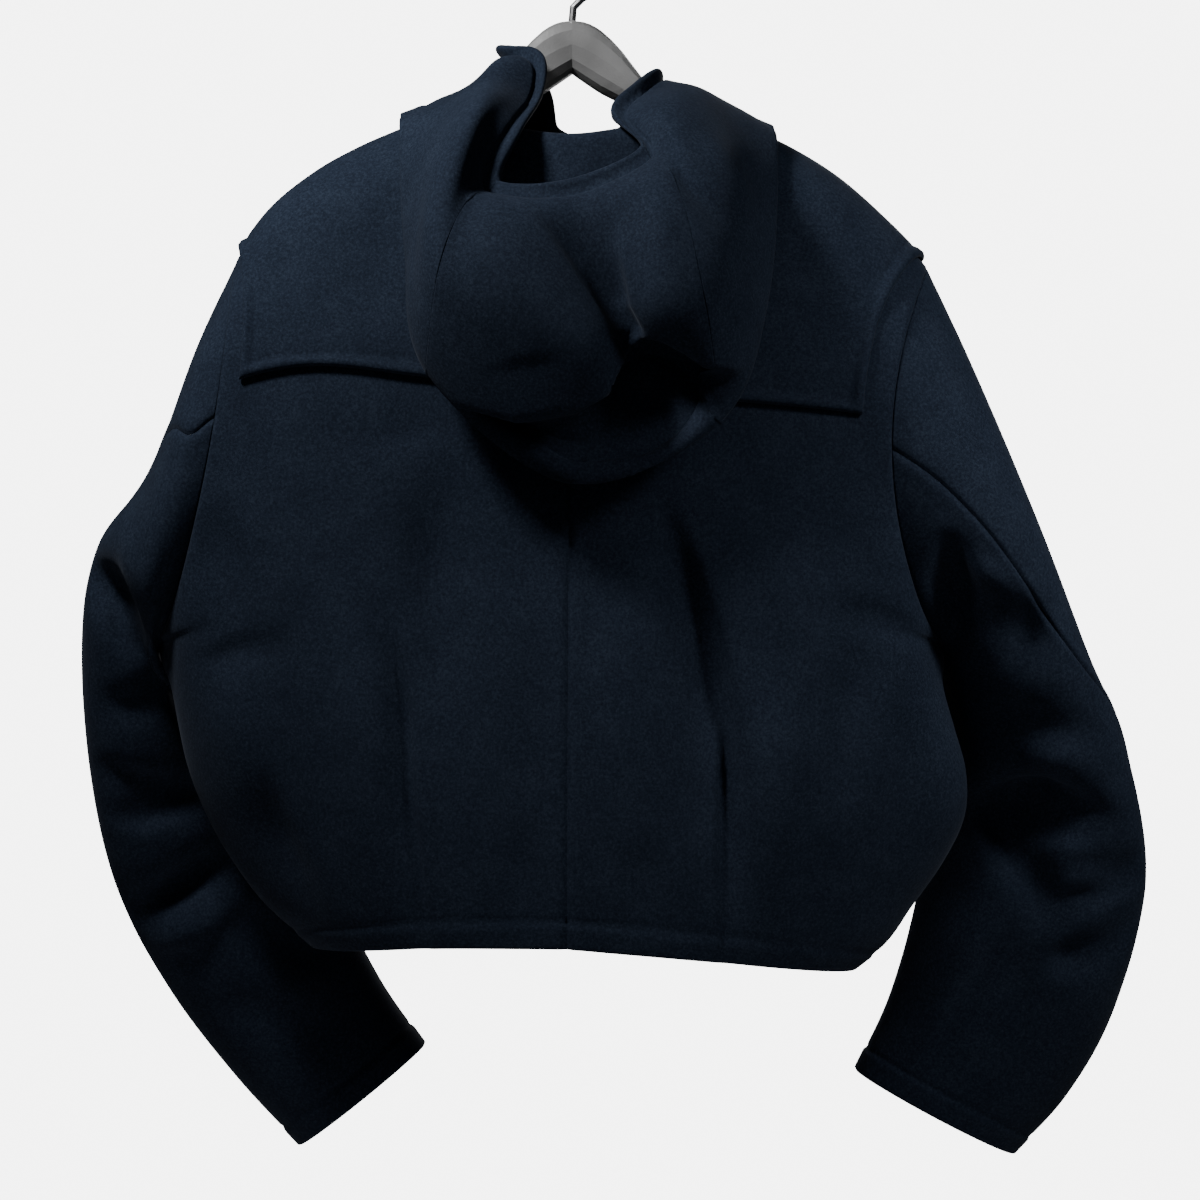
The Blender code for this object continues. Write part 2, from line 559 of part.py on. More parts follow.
def mesh_object(name, points, faces, material):
    """Closed mesh from points in millimetres, with its faces outwards."""
    mesh = bpy.data.meshes.new(name)
    mesh.from_pydata((np.asarray(points) * MM).tolist(), [], [[int(i) for i in face] for face in faces])
    shape = bmesh.new()
    shape.from_mesh(mesh)
    bmesh.ops.remove_doubles(shape, verts=shape.verts, dist=WELD)
    bmesh.ops.triangulate(shape, faces=shape.faces)
    bmesh.ops.recalc_face_normals(shape, faces=shape.faces)
    shape.to_mesh(mesh)
    shape.free()
    mesh.materials.append(material)
    mesh.shade_smooth()
    mesh.set_sharp_from_angle(angle=SHARP)
    made = bpy.data.objects.new(name, mesh)
    bpy.context.scene.collection.objects.link(made)
    return made


def cloth_wall(name, outer, inner, faces, material):
    """Closed wall between an outer and an inner layer that share one list of faces."""
    count = len(outer)
    edges = {(int(a), int(b)) for face in faces for a, b in zip(face, np.roll(face, -1))}
    sides = sorted((b, a, a + count, b + count) for a, b in edges if (b, a) not in edges)
    layers = [tuple(face) for face in faces] + [tuple(i + count for i in reversed(face)) for face in faces]
    return mesh_object(name, np.concatenate([outer, inner]), layers + sides, material)


def bevelled(points):
    """A grid of points with its borders pulled in."""
    points = points.copy()
    for border, inside in ((0, 1), (-1, -2)):
        for lines in (points, points.swapaxes(0, 1)):
            step = lines[inside] - lines[border]
            length = np.maximum(np.linalg.norm(step, axis=-1, keepdims=True), 1e-9)
            lines[border] += step * np.minimum(BEVEL / length, 0.45)
    return points


def hold_face(points, face):
    """Points kept on their own side of the plane of the side seams."""
    points = points.copy()
    points[..., 1] = face * np.maximum(face * points[..., 1], SEAM / 2)
    return points


def panel_wall(name, points, normals, material, lift=0, face=None):
    """Cloth wall from a grid. lift moves the outer face, and the inner one is a cloth under the least lift."""
    lift = np.broadcast_to(lift, points.shape[:2])[..., None]
    outer = points + normals * lift
    inner = bevelled(points + normals * (np.min(lift) - CLOTH))
    if face is not None:
        outer, inner = hold_face(outer, face), hold_face(inner, face)
    faces = grid_faces(*points.shape[:2])
    return cloth_wall(name, outer.reshape(-1, 3), inner.reshape(-1, 3), faces, material)


def welt(distance):
    """Height of a turned edge, at a distance in from it counted in welt widths."""
    return WELT_RISE * np.sqrt(1 - np.clip(2 * distance - 1, -1, 1) ** 2)


def panel_grid(side, face):
    """u and v of a body panel's points, with lines under the edges of the yoke."""
    share = YOKE_SIDE[0]
    edge = getattr(share, name_of(side))
    across = np.concatenate([ACROSS, [edge - WELT_ACROSS * WELT_STEPS[-1], edge, lerp(edge, 1, 0.6), 1]])
    bottom = yoke_bottom(side, face, across)
    v = [0 * bottom + low for low in LOW_UP] + [bottom, bottom + WELT_UP * WELT_STEPS[-1]]
    v = np.array(v + [0 * bottom + high for high in HIGH_UP])
    edge = column(YOKE_SIDE, "v", name_of(side), v[:, len(ACROSS) + 1])
    u = np.array([0 * edge + inner for inner in ACROSS])
    outer = [edge - WELT_ACROSS * WELT_STEPS[-1], edge, lerp(edge, 1, 0.6), 0 * edge + 1]
    u = np.concatenate([u, outer]).T
    if face == FRONT:
        laps = len(LAP_STEPS)
        u = np.concatenate([np.tile(LAP_STEPS, (len(u), 1)), u], axis=1)
        v = np.concatenate([np.repeat(v[:, :1], laps, axis=1), v], axis=1)
    return u, v


def panel_points(side, face):
    """Points of a body panel's outer face and its unit normals."""
    u, v = panel_grid(side, face)
    if face == BACK:
        return normals_of(lambda a, b: body_point(side, BACK, a, b), u, v, BACK)
    return normals_of(lambda a, b: front_point(side, a, b), u, v, FRONT)


def make_backs(material):
    for side in (LEFT, RIGHT):
        points, normals = panel_points(side, BACK)
        points[:, 0, 0] += side * SEAM / 2
        panel_wall(f"back_{name_of(side)}", points, normals, material, face=BACK)


def make_fronts(material):
    for side in (LEFT, RIGHT):
        points, normals = panel_points(side, FRONT)
        panel_wall(f"front_{name_of(side)}", points, normals, material, face=FRONT)


def with_lines(grid, place, shares):
    """A grid with more rows between one row and the next, at these shares of the way."""
    more = [lerp(grid[place], grid[place + 1], share) for share in shares]
    return np.concatenate([grid[: place + 1], more, grid[place + 1 :]])


def yoke_quarter(side, face):
    """Points and normals of the panel under a quarter of the yoke, and each one's height of turned edge."""
    points, normals = panel_points(side, face)
    last = points.shape[1] - 3
    grid = np.concatenate([points, normals], axis=-1)[len(LOW_UP) :, : last + 1]
    shares = WELT_STEPS[1:-1] / WELT_STEPS[-1]
    grid = with_lines(grid, 0, shares)
    grid = with_lines(grid.swapaxes(0, 1), last - 1, 1 - shares[::-1]).swapaxes(0, 1)
    rows, columns = grid.shape[:2]
    in_rows, in_columns = np.full(rows, WELT_STEPS[-1]), np.full(columns, WELT_STEPS[-1])
    in_rows[: len(WELT_STEPS)] = WELT_STEPS
    in_columns[-len(WELT_STEPS) :] = WELT_STEPS[::-1]
    return grid[..., :3], grid[..., 3:], welt(np.minimum(in_rows[:, None], in_columns))


def make_yoke(material):
    """Cape over both shoulders: four quarters, joined over the ridges and down the middle of the back."""
    bases, outers, inners, faces = [], [], [], []
    count = 0
    for side in (LEFT, RIGHT):
        for face in (BACK, FRONT):
            points, normals, rise = yoke_quarter(side, face)
            part = grid_faces(*rise.shape) + count
            bases.append(np.round(points.reshape(-1, 3), 2))
            outers.append((points + normals * (LAYER + rise)[..., None]).reshape(-1, 3))
            inners.append((points + normals * (LAYER - CLOTH)).reshape(-1, 3))
            faces.append(part if side * face > 0 else part[:, ::-1])
            count += rise.size
    _, index = np.unique(np.concatenate(bases), axis=0, return_inverse=True)
    index = index.reshape(-1)
    share = np.bincount(index)[:, None]
    layers = []
    for layer in (np.concatenate(outers), np.concatenate(inners)):
        layers.append(np.stack([np.bincount(index, weights=layer[:, k]) for k in range(3)], axis=-1) / share)
    cloth_wall("shoulder_yoke", *layers, index[np.concatenate(faces)], material)


def make_sleeves(material):
    for side in (LEFT, RIGHT):
        seams, last = SLEEVE_SEAMS[side], len(SLEEVES[side]) - 1
        rings = np.linspace(0, last, SLEEVE_RINGS)
        trim = SEAM / 2 / SLEEVE_RADIUS
        back = np.radians(column(seams, "ring", "back", rings))[:, None]
        front = np.radians(column(seams, "ring", "front", rings))[:, None]
        spans = {"under": (back, front, UNDER_STEPS), "top": (front - 2 * math.pi, back, TOP_STEPS)}
        for part, (start, end, steps) in spans.items():
            share, ring = np.meshgrid(np.linspace(0, 1, steps + 1), rings)
            angle = lerp(start + trim, end - trim, share)
            points, normals = sleeve_normals(side, ring, angle)
            along = points[1] - points[0]
            points[0] += along * 2 * SEAM / np.linalg.norm(along, axis=-1, keepdims=True)
            points[0] += [side * 3 * SEAM, 0, 0]
            panel_wall(f"{part}_sleeve_{name_of(side)}", points, normals, material)


def sleeve_normals(side, ring, angle):
    """Points of a sleeve and its outward unit normals."""
    step, last = NORMAL_STEP, len(SLEEVES[side]) - 1
    before, after = np.maximum(ring - step, 0), np.minimum(ring + step, last)
    along = sleeve_point(side, after, angle) - sleeve_point(side, before, angle)
    turning = sleeve_point(side, ring, angle + step) - sleeve_point(side, ring, angle - step)
    normals = np.cross(turning, along) * -side
    return sleeve_point(side, ring, angle), normals / np.linalg.norm(normals, axis=-1, keepdims=True)


def make_hood(material):
    trim, last = SEAM / 2 / RIB_SPACING, len(HOOD) - 1
    rim = hood_controls().shape[1] - 1
    steps_up = np.concatenate([HOOD_UP, rim - WELT_RIB * WELT_STEPS[::-1]])
    spans = {
        "hood_side_left": (0, HOOD_SEAMS[0], HOOD_SIDE_STEPS),
        "hood_centre": (HOOD_SEAMS[0], HOOD_SEAMS[1], HOOD_CENTRE_STEPS),
        "hood_side_right": (HOOD_SEAMS[1], last, HOOD_SIDE_STEPS),
    }
    for name, (start, end, steps) in spans.items():
        rib, step = np.meshgrid(np.linspace(start + trim, end - trim, steps + 1), steps_up)
        points, normals = normals_of(hood_point, rib, step)
        bulge = np.argmin(np.abs(steps_up - 4))
        back = steps if name == "hood_side_left" else 0
        normals = normals * np.sign(-normals[bulge, back, 1])
        panel_wall(name, points, normals, material, lift=welt((rim - step) / WELT_RIB))


def make_hanger(material):
    across = np.concatenate([-HANGER_STEPS[:0:-1], HANGER_STEPS])
    reach = np.abs(across)
    top, bottom, half = (column(HANGER, "x", name, reach)[:, None] for name in Arm._fields[1:])
    turn = np.linspace(0, 2 * math.pi, HANGER_SIDES, endpoint=False)
    out = np.sign(np.cos(turn)) * np.abs(np.cos(turn)) ** (2 / HANGER_SQUARE)
    up = np.sign(np.sin(turn)) * np.abs(np.sin(turn)) ** (2 / HANGER_SQUARE)
    x = np.broadcast_to(across[:, None], (len(across), HANGER_SIDES))
    points = np.stack([x, half * out, (top + bottom) / 2 + (top - bottom) / 2 * up], axis=-1)
    mesh_object("hanger", points.reshape(-1, 3), tube_faces(len(across), HANGER_SIDES), material)


def make_cord(name, points, radius, material, roundness=1):
    """Round cord or wire along a smooth line through the points."""
    points = np.asarray(points, float)
    length = np.concatenate([[0], np.cumsum(np.linalg.norm(np.diff(points, axis=0), axis=1))])
    count = max(int(length[-1] / (CORD_STEP * radius)), 3)
    route = curve(length, points, np.linspace(0, length[-1], count + 1)) * MM
    line = bpy.data.curves.new(name, "CURVE")
    line.dimensions = "3D"
    line.bevel_depth = radius * MM
    line.bevel_resolution = roundness
    line.use_fill_caps = True
    spline = line.splines.new("POLY")
    spline.points.add(len(route) - 1)
    for point, place in zip(spline.points, route):
        point.co = (*place, 1)
    line.materials.append(material)
    made = bpy.data.objects.new(name, line)
    bpy.context.scene.collection.objects.link(made)
    return made


def make_hook(material):
    foot = HANGER[0].top + SEAM
    middle, bend = -HOOK_BEND, HOOK_BEND + HOOK_WIRE
    stem = [(0, 0, foot), (0, 0, foot + 7), (3.5, 0, foot + 13), (12, 0, foot + 18)]
    turn = np.radians(np.arange(-35, 206, 20))
    arc = [(bend * math.cos(a), 0, middle + bend * math.sin(a)) for a in turn]
    make_cord("hanger_hook", stem + arc, HOOK_WIRE, material, roundness=3)


def front_face(x, z, lift):
    """Point of the closed fronts at a given x and height, moved out by a lift."""
    under = x > FRONT_LAP
    u, v = body_over(RIGHT if x > 0 else LEFT, FRONT, x, z)
    if under:
        y = front_point(RIGHT, u, v)[1]
    else:
        y = front_point(LEFT, u if x < 0 else -x / FRONT_LAP, v)[1]
    return np.array([x, y + lift, z])


def make_fastenings(materials):
    for number, row in enumerate(FASTENINGS, 1):
        on = LAYER if row.on_yoke else 0
        for side in (LEFT, RIGHT):
            make_tab(f"tab_{name_of(side)}_{number}", side * TAB_X, row.z, on, materials["leather"])
        middle = front_face(TOGGLE_X, row.z, on)[1] + TOGGLE_STAND
        make_toggle(f"toggle_{number}", (TOGGLE_X, middle, row.z), materials["toggle_horn"])
        make_cord(f"toggle_cord_{number}", toggle_route(row.z, on, middle), CORD_RADIUS, materials["cord"])
        make_cord(f"loop_cord_{number}", loop_route(row.z, on), CORD_RADIUS, materials["cord"])


def toggle_route(z, on, middle):
    """From the left tab over the loop's end, round the toggle's waist and back."""
    start, crossing = -TAB_X + TAB_WIDTH / 2 + SEAM, TOGGLE_X - CROSS_AT
    out = []
    for share in (0, 0.4, 1):
        apart, lift = lerp(CORD_APART, CORD_CLOSE, share), lerp(CORD_LOW, CROSS_HIGH, share * share)
        out.append(front_face(lerp(start, crossing, share), z + apart, on + lift))
    wrap = TOGGLE_WAIST + CORD_RADIUS + 2 * SEAM
    turn = np.radians(np.linspace(212, 508, 8))
    rise = np.linspace(1, -1, len(turn)) * (CORD_RADIUS + SEAM)
    around = np.stack([TOGGLE_X + wrap * np.cos(turn), middle + wrap * np.sin(turn), z + rise], axis=-1)
    back = [(x, y, 2 * z - height) for x, y, height in reversed(out)]
    return [*out, *around, *back]


def loop_route(z, on):
    """From the right tab under the toggle's ends, round behind it and back."""
    end = TOGGLE_X - LOOP_END
    out = []
    for x in np.linspace(TAB_X - TAB_WIDTH / 2 - SEAM, end, 7):
        over_edge = CORD_RADIUS * math.exp(-(((x - FRONT_LAP) / LOOP_STEP) ** 2))
        out.append(front_face(x, z + LOOP_APART, on + CORD_LOW + over_edge))
    turn = []
    for angle in np.radians([45, 90, 135]):
        x, height = end - LOOP_APART * math.sin(angle), z + LOOP_APART * math.cos(angle)
        turn.append(front_face(x, height, on + CORD_LOW))
    back = [(x, y, 2 * z - height) for x, y, height in reversed(out)]
    return [*out, *turn, *back]


def make_tab(name, middle_x, middle_z, on, material):
    x, z = np.meshgrid(np.linspace(-0.5, 0.5, 4) * TAB_WIDTH, np.linspace(-0.5, 0.5, 3) * TAB_HEIGHT)
    low = np.array([front_face(middle_x + a, middle_z + b, on + TAB_CLEAR) for a, b in zip(x.flat, z.flat)])
    cloth_wall(name, low + [0, TAB_THICK, 0], low, grid_faces(*x.shape), material)


def make_toggle(name, middle, material):
    """Barrel with a waist, turned about an upright axis."""
    profile = [Turned(row.radius, -row.up) for row in reversed(TOGGLE_PROFILE)] + TOGGLE_PROFILE
    turn = np.linspace(0, 2 * math.pi, TOGGLE_SIDES, endpoint=False)
    rows = []
    for radius, up in profile:
        rows.append(np.stack([radius * np.cos(turn), radius * np.sin(turn), 0 * turn + up], axis=-1) + middle)
    mesh_object(name, np.concatenate(rows), tube_faces(len(rows), TOGGLE_SIDES), material)


def main():
    clear_scene()
    materials = make_materials()
    wool = materials["wool"]
    make_backs(wool)
    make_fronts(wool)
    make_yoke(wool)
    make_sleeves(wool)
    make_hood(wool)
    make_hanger(materials["hanger_plastic"])
    make_hook(materials["hook_metal"])
    make_fastenings(materials)


main()
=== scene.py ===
"""Cropped duffle coat of thick navy wool on a grey hanger, hood down, dressed over its solids.

+X is the wearer's right, +Y the way the wearer faces and +Z up. The origin is the inside top of the hook.
Tables and lengths are in millimetres, and MM turns them into Blender's metres.
"""

import math
from collections import namedtuple

import bpy
import numpy as np
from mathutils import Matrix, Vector


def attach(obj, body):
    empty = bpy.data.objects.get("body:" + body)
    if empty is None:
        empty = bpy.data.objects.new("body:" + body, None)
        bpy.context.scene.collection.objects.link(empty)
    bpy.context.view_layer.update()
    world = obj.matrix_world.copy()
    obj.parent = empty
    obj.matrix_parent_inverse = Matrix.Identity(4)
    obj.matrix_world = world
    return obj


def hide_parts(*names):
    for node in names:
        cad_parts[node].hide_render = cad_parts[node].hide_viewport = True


MM = 0.001
CLOTH = 2.6  # wall of the wool
SEAM = 0.4  # gap where two pieces meet
LAYER = CLOTH + SEAM  # from one layer's outer face to the next one's
WELT_WIDTH, WELT_RISE = 7.0, 2.2  # turned edge of the yoke and the hood
LEFT, RIGHT = -1, 1
BACK, FRONT = -1, 1


def listed(kind, *table):
    """A table's rows, with named columns."""
    return [kind(*row) for row in table]


# Body: distance of the side seams from the middle, at each height.
Side = namedtuple("Side", "z left right")
SIDES = listed(
    Side,
    (-703, 158, 191),
    (-688, 175, 210),
    (-660, 207, 231),
    (-630, 230, 252),
    (-600, 247, 266),
    (-570, 259, 267),
    (-540, 266, 259),
    (-510, 271, 250),
    (-481, 274, 243),
)
# Depth of the body at its middle, behind and in front of the hanger, and how square its section is.
Depth = namedtuple("Depth", "z back front square")
DEPTHS = listed(
    Depth,
    (-700, 86, 82, 2.2),
    (-640, 92, 86, 2.2),
    (-560, 93, 86, 2.3),
    (-480, 89, 84, 2.4),
    (-400, 85, 80, 2.5),
    (-300, 80, 75, 2.5),
    (-220, 72, 70, 2.5),
    (-120, 64, 66, 2.5),
)
# Shoulder ridge, in steps outwards from the neck.
Ridge = namedtuple("Ridge", "step left_x left_z right_x right_z")
SHOULDERS = listed(
    Ridge,
    (0, 90, -127, 90, -126),
    (0.2, 117, -138, 120, -137),
    (0.4, 144, -150, 150, -151.5),
    (0.6, 172, -166, 180, -171),
    (0.8, 201, -190, 211, -199),
    (1, 226, -224, 240, -229),
)
NECK_SHARE = 0.40  # share of the panel's width that the neckline takes
NECKS = {BACK: (-166, 62), FRONT: (-163, 60)}  # height and depth of the neckline at its middle
MIDDLE_X = -3  # centre seam at the hem
HEM_MIDDLE = -680
Hem = namedtuple("Hem", "step left right")
HEMS = [Hem(0, HEM_MIDDLE, HEM_MIDDLE), Hem(0.5, -681, -690), Hem(1, -688, -703)]
ARMPIT_SHARE = 0.36  # share of the panel's height below the armpit
RIDGE_SHARE = 0.62  # share of the panel's height where it starts to round over the shoulder
# How the armhole's depth spreads into the panel: from which height, over what rise, and as what power of its
# width.
ARM_DEPTH, ARM_LOW, ARM_RISE, ARM_REACH = 64, -650, 250, 9
# How far each front runs past the middle, over what width the upper one rises, and its clearance.
FRONT_LAP, LAP_EASE, LAP_CLEAR = 32, 60, 0.6

# Sleeves: rings from the outer to the inner edge. y is the ring's middle, bow its pull towards the body,
# and twist how far its inner edge lies in front of its outer one.
Ring = namedtuple("Ring", "outer_x outer_z inner_x inner_z y half_depth bow twist")
SLEEVES = {
    LEFT: listed(
        Ring,
        (-226, -224, -274, -481, 0, 72, 14, 0),
        (-252, -280, -280, -489, 2, 73, 8, 1),
        (-284, -364, -282, -501, 9, 71, 3, 6),
        (-323, -416, -268, -517, 29, 63, 0, 18),
        (-337, -481, -240, -532, 54, 55, 0, 28),
        (-335, -577, -222, -587, 76, 50, 0, 28),
        (-320, -660, -198, -631, 92, 46, 0, 20),
        (-287, -732, -169, -674, 105, 43, 0, 10),
        (-243, -795, -137, -733, 115, 41, 0, 4),
        (-198, -847, -108, -775, 122, 40, 0, 0),
    ),
    RIGHT: listed(
        Ring,
        (240, -229, 243, -481, 0, 72, 32, 0),
        (274, -305, 249.5, -489, 1, 73, 16, 8),
        (315, -404, 251, -501, 9, 71, 5, 18),
        (351, -491, 250, -534, 29, 64, 0, 22),
        (379, -551, 252, -579, 48, 58, 0, 22),
        (398, -645, 248, -636, 64, 54, 0, 20),
        (380, -738, 238, -689, 75, 49, 0, 12),
        (350, -801, 222, -742, 84, 45, 0, 6),
        (313, -847, 201, -788, 92, 42, 0, 0),
    ),
}
# The armhole is narrower at its bottom, and the sleeve loses this by a ring.
ARMHOLE_PEAR, ARMHOLE_RINGS = 0.1, 4
# How far a sleeve lies off the body's side, right under the arm and this far below it.
PIT_CLEAR, SIDE_CLEAR, PIT_REACH = 2.5, 6, 40
SIDE_EASE, SIDE_SQUARE = 70, 1.3  # the height over which it is moved off, and how square the side is there
FOLD_TURN = 1.6  # how soon a fold ends where the sleeve turns away from the back
# Seams of each two-piece sleeve, in degrees round it from its outer edge by way of the back.
SleeveSeam = namedtuple("SleeveSeam", "ring back front")
SLEEVE_SEAMS = {
    LEFT: listed(
        SleeveSeam,
        (0, 81, 236),
        (1, 67, 231),
        (1.9, 16, 226),
        (2.6, -8, 222),
        (5, -14, 205),
        (9, -14, 195),
    ),
    RIGHT: listed(
        SleeveSeam,
        (0, 90, 236),
        (1.4, 78, 231),
        (2.6, 54, 226),
        (3.6, 12, 222),
        (4.4, -12, 218),
        (8, -18, 195),
    ),
}
# Folds sunk into the backs of the sleeves, each a line with a width to either side of it.
Fold = namedtuple("Fold", "x z end_x end_z width depth")
SLEEVE_FOLDS = {
    LEFT: listed(
        Fold,
        (-322, -434, -290, -474, 20, 13),
        (-262, -590, -300, -606, 16, 8),
        (-300, -668, -228, -640, 16, 8),
    ),
    RIGHT: listed(
        Fold,
        (246, -446, 296, -472, 22, 9),
        (296, -590, 376, -640, 17, 14),
        (300, -604, 330, -668, 15, 9),
        (345, -700, 384, -676, 15, 8),
    ),
}

# Yoke: height of its bottom edge across the panel, and its side edge as a share of the panel's width.
YokeBottom = namedtuple("YokeBottom", "u left right")
YOKE_BOTTOM = listed(
    YokeBottom,
    (0, -318, -318),
    (0.4, -309, -323),
    (0.75, -302, -329),
    (1, -313, -335),
)
YokeSide = namedtuple("YokeSide", "v left right")
YOKE_SIDE = [YokeSide(0.68, 0.925, 0.905), YokeSide(0.84, 0.945, 0.93), YokeSide(1, 0.985, 0.985)]
YOKE_EASE = 0.03

# Hood: ribs from the left of the throat round the back to the right of it. neck is the rib's place on the
# neckline in degrees from the middle of the back. Then come the turn at the bag's bottom, the bulge and the
# crown of its outer side, and the rim.
Rib = namedtuple(
    "Rib",
    "neck turn_x turn_y turn_z bulge_x bulge_y bulge_z crown_x crown_y crown_z rim_x rim_y rim_z",
)
HOOD = listed(
    Rib,
    (-172, 3, 67, -146, 5, 68, -140, 8, 68, -134, 10, 67, -128),
    (-145, -38, 66, -138, -34, 67, -131, -22, 67, -126, -9, 62, -127),
    (-118, -84, 40, -124, -70, 38, -114, -44, 35, -104, -16, 30, -101),
    (-100, -104, 16, -120, -84, 14, -111, -62, 12, -103.5, -42, 9, -80),
    (-86, -111, -8, -127, -88, -12, -114.5, -62, -13, -106, -42, -10, -80),
    (-76, -114, -30, -131, -70, -34, -113.5, -47, -35, -91, -18, -28, -92),
    (-66, -114, -52, -150, -86, -58, -132, -52, -58, -110, -20, -46, -122),
    (-50, -108, -90, -226, -88, -116, -178, -58, -106, -140, -34, -87, -154),
    (-32, -92, -112, -310, -82, -152, -250, -64, -138, -200, -45, -106, -189),
    (0, 0, -118, -382, 2, -156, -296, 0, -142, -214, 0, -116, -187),
    (32, 96, -114, -342, 84, -156, -268, 66, -136, -188, 45, -102, -165),
    (54, 128, -92, -262, 106, -118, -196, 66, -96, -140, 26, -64, -136),
    (74, 137, -50, -158, 108, -55, -136, 80, -46, -114, 40, -39, -114),
    (92, 131, -6, -133, 108, -10, -120, 80, -12, -108.5, 53, -10, -99),
    (115, 104, 38, -128, 90, 38, -118, 70, 34, -108, 50, 28, -109),
    (145, 52, 64, -138, 48, 66, -131, 40, 67, -126, 31, 62, -128),
    (172, 19, 67, -146, 17, 68, -140, 15, 68, -134, 12, 67, -128),
)
HOOD_SEAMS = (8, 10)  # ribs where the side pieces meet the centre strip
HOOD_STAND = 4.6  # from the neckline up to the hood's edge
ROLL_OUT, ROLL_UP = 11, 7  # how the hood rises from the neck before it falls back
ROLL_SIDES = 0.15  # share of that rise left at the sides
ROLL_FRONT, ROLL_EASE = 150, 50  # degrees from the back where the roll ends, and how softly
# The hood's fall lies this far off the back where it turns further back than the second.
FALL_CLEAR, FALL_FROM = 9.5, -43.4
# Valley between the two lobes of the hood's outer side, from the rim down.
Valley = namedtuple("Valley", "x z width depth")
HOOD_VALLEY = listed(
    Valley,
    (2, -196, 30, 2),
    (8, -222, 26, 9),
    (18, -252, 19, 17),
    (34, -284, 15, 27),
    (54, -318, 24, 33),
    (52, -352, 34, 22),
)
VALLEY_STEP, VALLEY_EASE, VALLEY_LINES = 3.1, 0.7, 25  # where on the way to the rim it starts
NORMAL_STEP = 1e-3
NEWTON_STEPS = 8

# Cloth pieces.
FACE = 0.15  # the cloth's outer face lies this far over its solid's
WALL = 2.4
EDGE_GAP = 0.05  # left between the two faces' roundings at an edge
PRESS_WIDTH, PRESS_DEPTH, PRESS_GAP = 2, 1.3, 0.12  # the line of a seam pressed flat
PRESS_REACH, PRESS_RISE = 5, 0.7  # the doubled cloth beside it
EDGE_LINES = np.array([0, 0.35, 0.9, 1.8])  # distances of the finer lines along an edge
PITCH = 2.9  # spacing of a piece's lines
# How densely a surface is sampled first, and the piece's length and width.
Grid = namedtuple("Grid", "columns rows down across")
PANEL_WIDTH = 262
BACK_GRID = Grid(160, 400, 548, PANEL_WIDTH)
FRONT_GRID = Grid(180, 400, 548, PANEL_WIDTH + FRONT_LAP)
YOKE_GRID, YOKE_ROWS, YOKE_COLUMNS = Grid(100, 90, 190, 235), 62, 80
SLEEVE_GRID = Grid(120, 300, 640, 185)
HOOD_SIDE_GRID, HOOD_CENTRE_GRID = Grid(200, 240, 420, 330), Grid(200, 240, 420, 190)
SIDE_GAP, MIDDLE_LAP = 0.2, 0.05  # off the side seam, and past the centre seam of the back

START_WIDTH, PEAK = 0.7, 0.35  # a crease's width where it starts, and how far along it is deepest
CREASE_REACH = 60  # a crease is worked out this far round its path
# Creases: a path over the cloth in x and z, its reach to the left and the right of the way it runs, as seen
# from behind, and how deep it sinks. A negative depth is a ridge.
Crease = namedtuple("Crease", "path left right depth")
BACK_CREASES = listed(
    Crease,
    (((-124, -436), (-118, -470), (-109, -520), (-104, -590), (-98, -650), (-94, -720)), 3, 12, 8),
    (((-142, -450), (-140, -520), (-132, -600), (-120, -700)), 30, 16, -4),
    (((107, -500), (103, -550), (101, -600), (102, -720)), 14, 3, 6),
    (((128, -490), (134, -550), (130, -620), (118, -700)), 16, 34, -4.5),
    (((48, -370), (70, -430), (88, -490), (98, -560), (104, -640)), 10, 26, 10),
    (((76, -440), (92, -510), (100, -570), (104, -620), (104, -700)), 10, 26, 9),
    (((30, -440), (34, -520), (28, -640)), 26, 22, -4),
    (((-84, -350), (-90, -430), (-82, -520), (-74, -600)), 26, 22, 7),
    (((-48, -400), (-44, -480), (-50, -600)), 24, 26, -3.4),
    (((-206, -560), (-196, -600), (-178, -650), (-166, -700)), 12, 22, 6),
    (((-226, -500), (-216, -560), (-196, -620)), 22, 22, -4),
    (((-232, -380), (-222, -440), (-210, -520)), 16, 26, 5),
    (((176, -440), (186, -500), (182, -570), (164, -650)), 24, 20, 6),
    (((222, -500), (224, -560), (212, -620), (190, -680)), 22, 18, 6.5),
    (((232, -330), (228, -400), (232, -460)), 16, 12, 4),
    (((-34, -590), (-30, -640), (-34, -700)), 14, 18, 2.6),
    (((44, -600), (50, -650), (48, -700)), 14, 18, 2.4),
    (((-256, -500), (-212, -486), (-160, -480)), 9, 14, 3),
    (((246, -486), (206, -466), (150, -458)), 12, 9, 3.6),
    (((-64, -336), (-120, -346), (-190, -344)), 14, 20, 2),
)
FRONT_CREASES = listed(
    Crease,
    (((-150, -352), (-158, -430), (-150, -520), (-156, -640)), 24, 28, 7),
    (((-96, -400), (-102, -470), (-98, -560), (-104, -700)), 26, 20, 4.6),
    (((-210, -400), (-220, -470), (-212, -560)), 16, 22, 5),
    (((96, -360), (104, -440), (98, -530), (106, -640)), 24, 20, 5.5),
    (((150, -380), (162, -470), (158, -560), (150, -700)), 20, 28, 7),
    (((206, -430), (214, -500), (206, -600)), 16, 20, 5),
    (((-190, -590), (-176, -640), (-160, -700)), 16, 20, 4.4),
    (((50, -560), (56, -620), (54, -700)), 16, 14, 3.4),
    (((-246, -488), (-200, -470), (-150, -472)), 10, 14, 3),
    (((242, -480), (200, -468), (150, -472)), 12, 9, 3.2),
)
